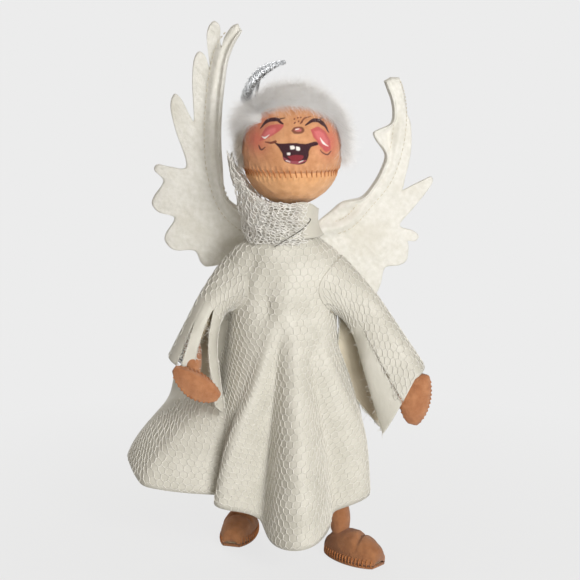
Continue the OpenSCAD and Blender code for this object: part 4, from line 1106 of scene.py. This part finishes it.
def addHand(side):
    s, body = handSet[side], side + "_hand"
    t = np.linspace(0, 1, 56)[:, None]
    a = np.linspace(0, 360, 64, endpoint=False)[None]
    p = mittenAt(t, a, s)
    p = p + 0.12 * ripple(p, 3.5, 6)[..., None] * unit(p)
    mitten = addPiece(side + "Mitten", *ringBody(turnHand(p, s)), handFelt, body, "felt_peach", [body],
                      closed=True)
    # thumb: a small egg set at a slant on the edge of the mitten
    lat = np.linspace(-86, 86, 24)[:, None]
    r, long = handSet["thumb"] * cosd(lat), handSet["thumbLong"] / 2 * (1 + sind(lat))
    x, y, z = r * cosd(a), r * sind(a), long + 0 * a
    across, deep, slant = s["thumb"]
    q = stacked([x * cosd(slant) + z * sind(slant) - handSet["thumbLong"] * 0.3, y + deep,
                 z * cosd(slant) - x * sind(slant) + across * handSet["wide"]])
    thumb = addPiece(side + "Thumb", *ringBody(turnHand(q, s)), handFelt, body, "felt_peach", closed=True)
    # overcast thread round the mitten's edge
    at = np.linspace(0.1, 0.9, handSet["stitches"])[:, None]
    f = np.linspace(-1, 1, 9)[None]
    over = 0.22 * (1 - f ** 4) - 0.05
    edge = [turnHand(mittenAt(at + 0.022 * f, middle + 34 * f, s, over), s) for middle in (90, 270)]
    addPiece(side + "Stitches", *tubes(np.concatenate(edge), handSet["stitchRadius"], 5), peachThread, body,
             "felt_peach")


for side in ("left", "right"):
    addHand(side)
print("hands made")


# feet: rounded above, flat below, broad at the toe with one crease across it
footSet = dict(long=24, wide=14, tall=11.5, heel=6, base=2.1, crease=0.14, creaseAt=0.66, stitches=17,
               stitchRadius=0.22, left=dict(at=(19, -9), turn=-42), right=dict(at=(-17.5, 17), turn=-106))


# half width of the foot's outline at a fraction of its length, a flattened sine that is broader at the toe
def footHalf(t):
    return footSet["wide"] / 2 * sind(180 * (0.06 + 0.88 * t)) ** 0.45 * (0.8 + 0.2 * t)


def placeFoot(p, s):
    c, n = cosd(s["turn"]), sind(s["turn"])
    x, y = p[..., 0] * c - p[..., 1] * n, p[..., 0] * n + p[..., 1] * c
    return stacked([x + s["at"][0], y + s["at"][1], p[..., 2]])


# upper: half ovals as high as a flattened sine, with the toe's crease, drawn down at the rim to meet the sole
def footAt(t, a):
    t, a = np.broadcast_arrays(t, a)
    top = (footSet["tall"] - footSet["base"]) * sind(180 * (0.07 + 0.86 * t)) ** 0.5
    top = top * (1 - footSet["crease"] * bell(t - footSet["creaseAt"] + 0.06 * cosd(a), 0.045))
    up = np.maximum(sind(a), 0) ** 0.8 * top
    rim = bell(sind(a), 0.2)
    x = -footSet["heel"] + footSet["long"] * (t + 0.02 * rim * (t - 0.5))
    y = footHalf(t) * cosd(a) * (1 - 0.02 * rim)
    return stacked([x, y, footSet["base"] - 1.1 * rim + up + 0.02 * sind(a)])


def addFoot(side):
    s, body = footSet[side], side + "_foot"
    t = np.linspace(0, 1, 60)[:, None]
    a = np.linspace(0, 360, 72, endpoint=False)[None]
    p = footAt(t, a)
    high = smooth((p[..., 2] - footSet["base"]) / 2)
    p = p + (0.14 * high * ripple(p, 3.5, 8))[..., None] * unit(p - np.array([6, 0, 2]))
    foot = addPiece(side + "FootFelt", *ringBody(placeFoot(p, s)), footFelt, body, "felt_peach", [body],
                    closed=True)
    # sole: the same outline, rounded at its edge
    f = np.linspace(0, 360, 120, endpoint=False)[None]
    h = np.array([0.0, 0.0, 0.35, 0.8, 1.05, 1.1])[:, None]
    inset = np.array([1.5, 0.35, 0.0, 0.0, 0.2, 0.6])[:, None]
    along = 0.5 - 0.5 * cosd(f)
    edge = np.sign(sind(f)) * footHalf(along)
    x = -footSet["heel"] + footSet["long"] * along
    middle, reach = 6.0, 9
    k = 1 - inset / reach
    sole = stacked([middle + (x - middle) * k, edge * k, h + 0 * f])
    addPiece(side + "SoleFelt", *ringBody(placeFoot(sole, s)), footFelt, body, "felt_peach", [side + "_sole"],
             closed=True)
    # overcast thread that joins upper and sole
    g = np.linspace(0, 1, 6)[None]
    tt = np.linspace(0.03, 0.97, footSet["stitches"])[:, None] + 0.012 * g
    reach = footHalf(tt) + 0.25 * np.sin(np.pi * g)
    x = -footSet["heel"] + footSet["long"] * tt
    line = np.concatenate([stacked([x, way * reach, 0.7 + 2.9 * g + 0 * tt]) for way in (1, -1)])
    addPiece(side + "FootStitches", *tubes(placeFoot(line, s), footSet["stitchRadius"], 5), peachThread, body,
             "felt_peach")


for side in ("left", "right"):
    addFoot(side)
print("feet made")


# stuffed limbs and body: rings round a straight line, swelling and tapering, rounded at both ends
def limbRings(a, b, radius, swell, tip, rows=28, cols=28):
    a, b = np.array(a, float), np.array(b, float)
    way = unit(b - a)
    side = unit(np.cross(way, [0.0, 1.0, 0.2]))
    up = np.cross(side, way)
    t = np.linspace(0, 1, rows)[:, None]
    f = np.linspace(0, 360, cols, endpoint=False)[None]
    r = (radius + (tip - radius) * t + swell * sind(180 * t)) * sind(8 + 164 * t) ** 0.25
    p = a + (b - a) * t[..., None] + r[..., None] * (cosd(f)[..., None] * side + sind(f)[..., None] * up)
    return p + 0.08 * ripple(p, 4, 2)[..., None] * unit(p - (a + (b - a) * t[..., None]))


def toward(a, b, d):
    a, b = np.array(a, float), np.array(b, float)
    return a + unit(b - a) * d


# bends of the armature
joints = dict(leftShoulder=(20, -2.2, 106), leftWrist=(45, -6, 69), rightShoulder=(-23, -2.2, 106),
              rightWrist=(-38.5, -9.5, 76), leftHip=(9.7, 0, 69), leftAnkle=(19, -9, 16),
              rightHip=(-12.7, 0, 69), rightAnkle=(-17.5, 17, 16))
# a limb stops short of the bends at its top and end by near and far
limbSet = dict(near=4.5, swell=0.4,
               arm=dict(bends=("Shoulder", "Wrist"), far=4.2, radius=3.8, tip=3.2, finish=bodyFelt,
                        slot="felt_body"),
               leg=dict(bends=("Hip", "Ankle"), far=4.4, radius=4.6, tip=3.4, finish=peachFelt,
                        slot="felt_peach"))
for kind in ("arm", "leg"):
    s = limbSet[kind]
    for side in ("left", "right"):
        body = side + "_" + kind
        top, end = (joints[side + bend] for bend in s["bends"])
        rings = limbRings(toward(top, end, limbSet["near"]), toward(end, top, s["far"]), s["radius"],
                          limbSet["swell"], s["tip"])
        limb = addPiece(side + kind.title() + "Felt", *ringBody(rings), s["finish"], body, s["slot"], [body],
                        closed=True)


# torso: a turned shape, its profile a curve through heights and radii
torsoSet = dict(axisX=-1.5, heights=[76, 76.5, 82, 91, 102, 110, 115, 116],
                radii=[0.8, 8.5, 12, 11, 12, 10.5, 6, 0.8])


def torsoRings(s):
    profile = curved(stacked([s["heights"], s["radii"]]), np.linspace(0, 1, 50))
    z, r = profile[:, :1], profile[:, 1:]
    f = np.linspace(0, 360, 48, endpoint=False)[None]
    return stacked([s["axisX"] + r * cosd(f), r * sind(f), z + 0 * f])


torsoPiece = addPiece("torsoFelt", *ringBody(torsoRings(torsoSet)), bodyFelt, "torso", "felt_body", ["torso"],
                      closed=True)

# short felt tubes that close the gaps at neck, ankles and wrists. The neck rides on its wire; each of the others
# goes back up its limb from the bend, on to a place in the foot or hand
neckRings = limbRings((-0.5, 0.5, 117), (0.5, 1, 134), 3.5, 0.3, 3.3)
neckFelt = addPiece("neckFelt", *ringBody(neckRings), peachFelt, "neck", "felt_peach", closed=True)
tubeSet = dict(
    leftAnkle=dict(up="leftHip", back=8, to=(19, -9, 8), radius=3.8, bodies=("left_leg", "left_foot"),
                   finish=footFelt),
    rightAnkle=dict(up="rightHip", back=8, to=(-17.5, 17, 8), radius=3.8, bodies=("right_leg", "right_foot"),
                    finish=footFelt),
    leftWrist=dict(up="leftShoulder", back=7, to=toward((45, -7.2, 69), (47, -9, 60), 5), radius=3.1,
                   bodies=("left_arm", "left_hand"), finish=handFelt),
    rightWrist=dict(up="rightShoulder", back=7, to=toward((-38.5, -11.5, 76), (-33.5, -23, 69), 10.5), radius=3.2,
                    bodies=("right_arm", "right_hand"), finish=handFelt))
for name, s in tubeSet.items():
    bend = np.array(joints[name], float)
    a, b = toward(bend, joints[s["up"]], s["back"]), np.array(s["to"], float)
    rings = limbRings(a, b, s["radius"], 0.2, s["radius"])
    tube = addPiece(name + "Felt", *ringBody(rings), s["finish"], None, "felt_peach", closed=True)
    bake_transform(tube)
print("body made")


# wings: two felt layers sewn round a wire. Rows run from the spine to the outer edge; each point of an edge is
# across, height and the fraction of the spine from which its row starts, and t goes from the inner to the outer edge
wingSet = dict(
    depthY=18.1, felt=1.1, rib=2.3, ribWide=2.2, roll=1.9, rollAt=-0.72, rollWide=0.25, curl=5.5, curlShare=0.6,
    arch=3, dish=2.5, dishReach=18, stitchOff=(-2.3, 2.5), stitchRadius=0.13,
    left=dict(
        spine=[(9, 118.5), (20.8, 121.3), (28.4, 129), (35.9, 138.6), (39.7, 150), (40.8, 161.6),
               (39.7, 170), (37, 176)],
        outer=[(10, 113, 0), (20, 104, .015), (29, 94.5, .03), (32.3, 92.6, .037), (34.7, 97.5, .044),
               (35.7, 102.6, .052), (37.2, 104.4, .058), (41.8, 104.8, .065), (44.7, 106.8, .072),
               (45.3, 112, .082), (45, 114, .088), (48, 114, .094), (49.2, 115.8, .1), (47, 118, .107),
               (41.8, 120.3, .118), (46.3, 126.2, .13), (51, 132, .14), (53.9, 136.4, .147),
               (53.4, 138.7, .152), (51.6, 138.1, .157), (48, 136.4, .167), (42.7, 133.9, .2),
               (42.9, 135.5, .27), (43.2, 137.5, .34), (43.7, 139.7, .41), (44.6, 143.5, .49),
               (45.3, 148, .565), (45.5, 153, .64), (45, 159, .72), (43.6, 162.5, .78),
               (42.7, 167.4, .85), (41.6, 173, .94), (40.2, 175.9, 1)],
        inner=[(9, 121, 0), (15, 126, .077), (19, 129.5, .154), (22, 130.5, .231), (27, 131.7, .308),
               (31.2, 136.8, .385), (34, 142.2, .462), (35.2, 147.5, .538), (31.6, 153, .6),
               (30.7, 155.8, .635), (33.5, 157.2, .66), (37, 158.8, .69), (37.9, 162, .74),
               (37.3, 167, .84), (35.6, 171.5, .93), (34.4, 174.6, 1)]),
    right=dict(
        spine=[(-10, 118.5), (-17.5, 121), (-24.5, 128), (-28.5, 140), (-29.5, 152), (-29, 164),
               (-27.5, 176), (-24.5, 187), (-18.4, 194)],
        outer=[(-11, 113, 0), (-22, 107, .05), (-31, 104.5, .09), (-34, 106, .105), (-36.5, 110.5, .12),
               (-44, 110.5, .14), (-47.6, 113.5, .155), (-47.4, 117, .17), (-44, 123, .19),
               (-50, 125, .21), (-52.6, 128, .225), (-51.5, 131.5, .24), (-48, 137, .265),
               (-51.4, 141, .285), (-50, 143.3, .297), (-45.5, 142.5, .31), (-39, 143, .33),
               (-43, 156.5, .35), (-44.7, 165, .362), (-43.3, 169.6, .372), (-40.8, 168.2, .38),
               (-37.8, 162.4, .39), (-36, 159.8, .405), (-36.1, 167, .48), (-36.3, 174.5, .53),
               (-35.6, 182, .57), (-33.8, 185.2, .59), (-31.5, 184, .61), (-29.7, 179.8, .68),
               (-30.6, 191.5, .745), (-28.2, 196.2, .765), (-25.7, 194.3, .78), (-25.7, 189, .8),
               (-25.1, 187.4, .83), (-23.9, 190.8, .89), (-21.4, 194.3, .95), (-19, 195.4, 1)],
        inner=[(-10, 121, 0), (-14.5, 124.5, .1), (-19.5, 127.8, .2), (-24.2, 132.5, .3),
               (-25.2, 144, .4), (-25.6, 154, .5), (-25.1, 164, .6), (-24, 173.5, .7), (-22.7, 181.5, .8),
               (-20.4, 187.6, .9), (-17.4, 192.6, 1)]))


# nearest place on the spine: its distance, and the fraction of the spine at which it lies
def spineNear(w, p, n=56):
    line = curved(w["spine"], np.linspace(0, 1, n + 1))
    a, d = line[:-1], np.diff(line, axis=0)
    k = np.clip(((p[..., None, :] - a) * d).sum(-1) / (d * d).sum(-1), 0, 1)
    gap = np.linalg.norm(p[..., None, :] - a - k[..., None] * d, axis=-1)
    i = gap.argmin(-1)[..., None]
    return np.take_along_axis(gap, i, -1)[..., 0], ((i + np.take_along_axis(k, i, -1)) / n)[..., 0]


# depth of the wing: it arches back along the spine
def spineDepth(s):
    return wingSet["depthY"] + wingSet["arch"] * (sind(180 * s) - s)


# middle surface: dished outwards with the square of the distance from the spine, curled forward at the inner
# edge with the square of t
def wingMid(w, q, t):
    q, t = np.broadcast_arrays(q, t)
    o = curved(w["outer"], q)
    s = np.clip(o[..., 2], 0, 1)
    c = curved(w["spine"], s)
    table = curved(w["inner"], np.linspace(0, 1, 200))
    inner = stacked([np.interp(s, table[:, 2], table[:, k]) for k in (0, 1)])
    e = np.where((t > 0)[..., None], o[..., :2], inner)
    p = c + (e - c) * np.abs(t)[..., None]
    off, near = spineNear(w, p)
    wide = np.linalg.norm(e - c, axis=-1)
    curl = np.minimum(wingSet["curl"], wingSet["curlShare"] * wide) * t ** 2 * smooth(s / 0.35)
    dish = wingSet["dish"] * (off / wingSet["dishReach"]) ** 2 * sind(180 * near)
    y = np.where(t < 0, spineDepth(s) - curl, spineDepth(near) + dish)
    return stacked([p[..., 0], y, p[..., 1]]), off, (1 - np.abs(t)) * wide, s


# one layer of felt on the middle surface: full height inside, the rib as a bell over the wire, the rolled inner
# edge as a bell along t
def wingLayer(w, way):
    rows = 8 * (len(w["outer"]) - 1) + 1
    q = np.linspace(0, 1, rows)[:, None]
    inwards, outwards = np.linspace(np.pi / 2, 0, 22), np.linspace(0, 1, 46)[1:]
    t = np.concatenate([-np.sin(inwards), 1 - (1 - outwards) ** 1.5])[None]
    mid, off, inside, s = wingMid(w, q, t)
    # rounded within a millimetre of the cut edge
    edge = np.sqrt(np.clip(1 - (1 - np.clip(inside, 0, 1)) ** 2, 0, 1)) * np.sqrt(np.clip(1 - q ** 60, 0, 1))
    high = wingSet["felt"] * edge + wingSet["rib"] * bell(off, wingSet["ribWide"]) * edge
    high = high + wingSet["roll"] * bell(t - wingSet["rollAt"], wingSet["rollWide"]) * edge * smooth(s / 0.3)
    high = high + (0.1 * ripple(mid, 5, 12) + 0.06 * ripple(mid, 2, 13)) * edge
    near = mid + np.array([0, way * 0.08, 0])
    outer = mid + (way * (0.15 + high))[..., None] * np.array([0, 1, 0])
    cols = t.shape[1]
    start = rows * cols
    front, back = gridFaces(rows, cols), gridFaces(rows, cols)[:, ::-1] + start
    ring = np.concatenate([np.arange(cols), np.arange(1, rows) * cols + cols - 1,
                           (rows - 1) * cols + np.arange(cols - 2, -1, -1), np.arange(rows - 2, 0, -1) * cols])
    after = np.roll(ring, -1)
    rim = stacked([after, ring, ring + start, after + start])
    return np.concatenate([outer.reshape(-1, 3), near.reshape(-1, 3)]), [np.vstack([front, back, rim])]


# running stitches on both sides of the wire, at a set distance from it
def wingStitches(w, side):
    s = np.linspace(0.1, 0.92, 40)[:, None] + np.linspace(0, 0.012, 4)[None]
    c = curved(w["spine"], s)
    ahead = unit(curved(w["spine"], s + 0.01) - curved(w["spine"], s - 0.01))
    across = side * stacked([ahead[..., 1], -ahead[..., 0]])
    parts = []
    for way in (-1, 1):
        for off in wingSet["stitchOff"]:
            p = c + off * across
            lift = wingSet["felt"] + 0.28 + wingSet["rib"] * bell(off, wingSet["ribWide"])
            bend = 1.2 * smooth(s / 0.35) if off < 0 else 0 * s
            path = stacked([p[..., 0], spineDepth(s) - bend + way * lift, p[..., 1]])
            parts.append(tubes(path, wingSet["stitchRadius"], 4))
    return joined(parts)


for side, outwards in (("left", 1), ("right", -1)):
    w, body = wingSet[side], side + "_wing"
    for layer, way in (("Front", -1), ("Back", 1)):
        addPiece(side + "Wing" + layer, *wingLayer(w, way), ivoryFelt, body, "felt_ivory",
                 [body + "_" + layer.lower()], closed=True)
    addPiece(side + "WingStitches", *wingStitches(w, outwards), ivoryThread, body, "felt_ivory")
print("wings made")


# stage: pale floor and sky of one colour, a dim warm sky for light, and three lamps: a broad one on the right,
# a weak low one in front and one behind. Lamps are watts, place and size; the floor's shadow fades out in metres
stageSet = dict(pale="#ECECEC", floor="#E4E4E4", sky="#F3E6D3", skyStrength=0.24, half=3.0, drop=0.0002,
                fadeFrom=0.06, fadeTo=0.24, nearShare=0.9, aimZ=0.1,
                lamps=dict(keyLamp=(8.0, (0.56, -1.0, 0.58), 0.4), fillLamp=(5.6, (0.3, -0.95, 0.03), 0.4),
                           backLamp=(6.4, (-0.35, 0.95, 0.6), 0.6)))


# 1 for what the camera sees, itself or mirrored in metal
def seenRay(tree):
    ray = add(tree, "ShaderNodeLightPath").outputs
    return add(tree, "ShaderNodeMath", {0: ray["Is Camera Ray"], 1: ray["Is Glossy Ray"]},
               operation="MAXIMUM").outputs[0]


def addFloor(s):
    half, z = s["half"], -s["drop"]
    mesh = bpy.data.meshes.new("floor")
    mesh.from_pydata([(-half, -half, z), (half, -half, z), (half, half, z), (-half, half, z)], [], [(0, 1, 2, 3)])
    floor = bpy.data.objects.new("floor", mesh)
    scene.collection.objects.link(floor)
    finish, tree, shader, place = newFinish("paleFloor")
    tree.nodes.remove(shader)
    # the doll's shadow shows near it; farther out the floor fades into the sky
    far = add(tree, "ShaderNodeVectorMath", {0: place}, operation="LENGTH")
    fade = add(tree, "ShaderNodeMapRange", {"Value": far.outputs["Value"], "From Min": s["fadeFrom"],
                                            "From Max": s["fadeTo"], "To Min": s["nearShare"], "To Max": 1.0})
    share = add(tree, "ShaderNodeMath", {0: seenRay(tree), 1: fade.outputs[0]}, operation="MULTIPLY")
    matte = add(tree, "ShaderNodeBsdfDiffuse", {"Color": linear(s["floor"])})
    glow = add(tree, "ShaderNodeEmission", {"Color": linear(s["pale"])})
    mix = add(tree, "ShaderNodeMixShader", {0: share.outputs[0], 1: matte.outputs[0], 2: glow.outputs[0]})
    plug(tree, tree.nodes["Material Output"], {"Surface": mix.outputs[0]})
    mesh.materials.append(finish)


def addSky(s):
    world = bpy.data.worlds.new("studio")
    world.use_nodes = True
    scene.world = world
    tree = world.node_tree
    tree.nodes.clear()
    dim = add(tree, "ShaderNodeBackground", {"Color": linear(s["sky"]), "Strength": s["skyStrength"]})
    pale = add(tree, "ShaderNodeBackground", {"Color": linear(s["pale"])})
    mix = add(tree, "ShaderNodeMixShader", {0: seenRay(tree), 1: dim.outputs[0], 2: pale.outputs[0]})
    add(tree, "ShaderNodeOutputWorld", {"Surface": mix.outputs[0]})


# each lamp is tipped and turned so that it faces the doll's middle
def addLamps(s):
    for name, (watts, at, size) in s["lamps"].items():
        data = bpy.data.lights.new(name, "AREA")
        data.energy, data.size = watts, size
        lamp = bpy.data.objects.new(name, data)
        lamp.location = at
        x, y, z = np.array(at) - np.array([0, 0, s["aimZ"]])
        lamp.rotation_euler = (math.atan2(math.hypot(x, y), z), 0, math.atan2(y, x) + math.pi / 2)
        scene.collection.objects.link(lamp)


addFloor(stageSet)
addSky(stageSet)
addLamps(stageSet)
print("stage made")
scene.view_settings.view_transform = "Standard"


for side in ("left", "right"):
    cloth, fray, net, sides = sleevePieces[side]
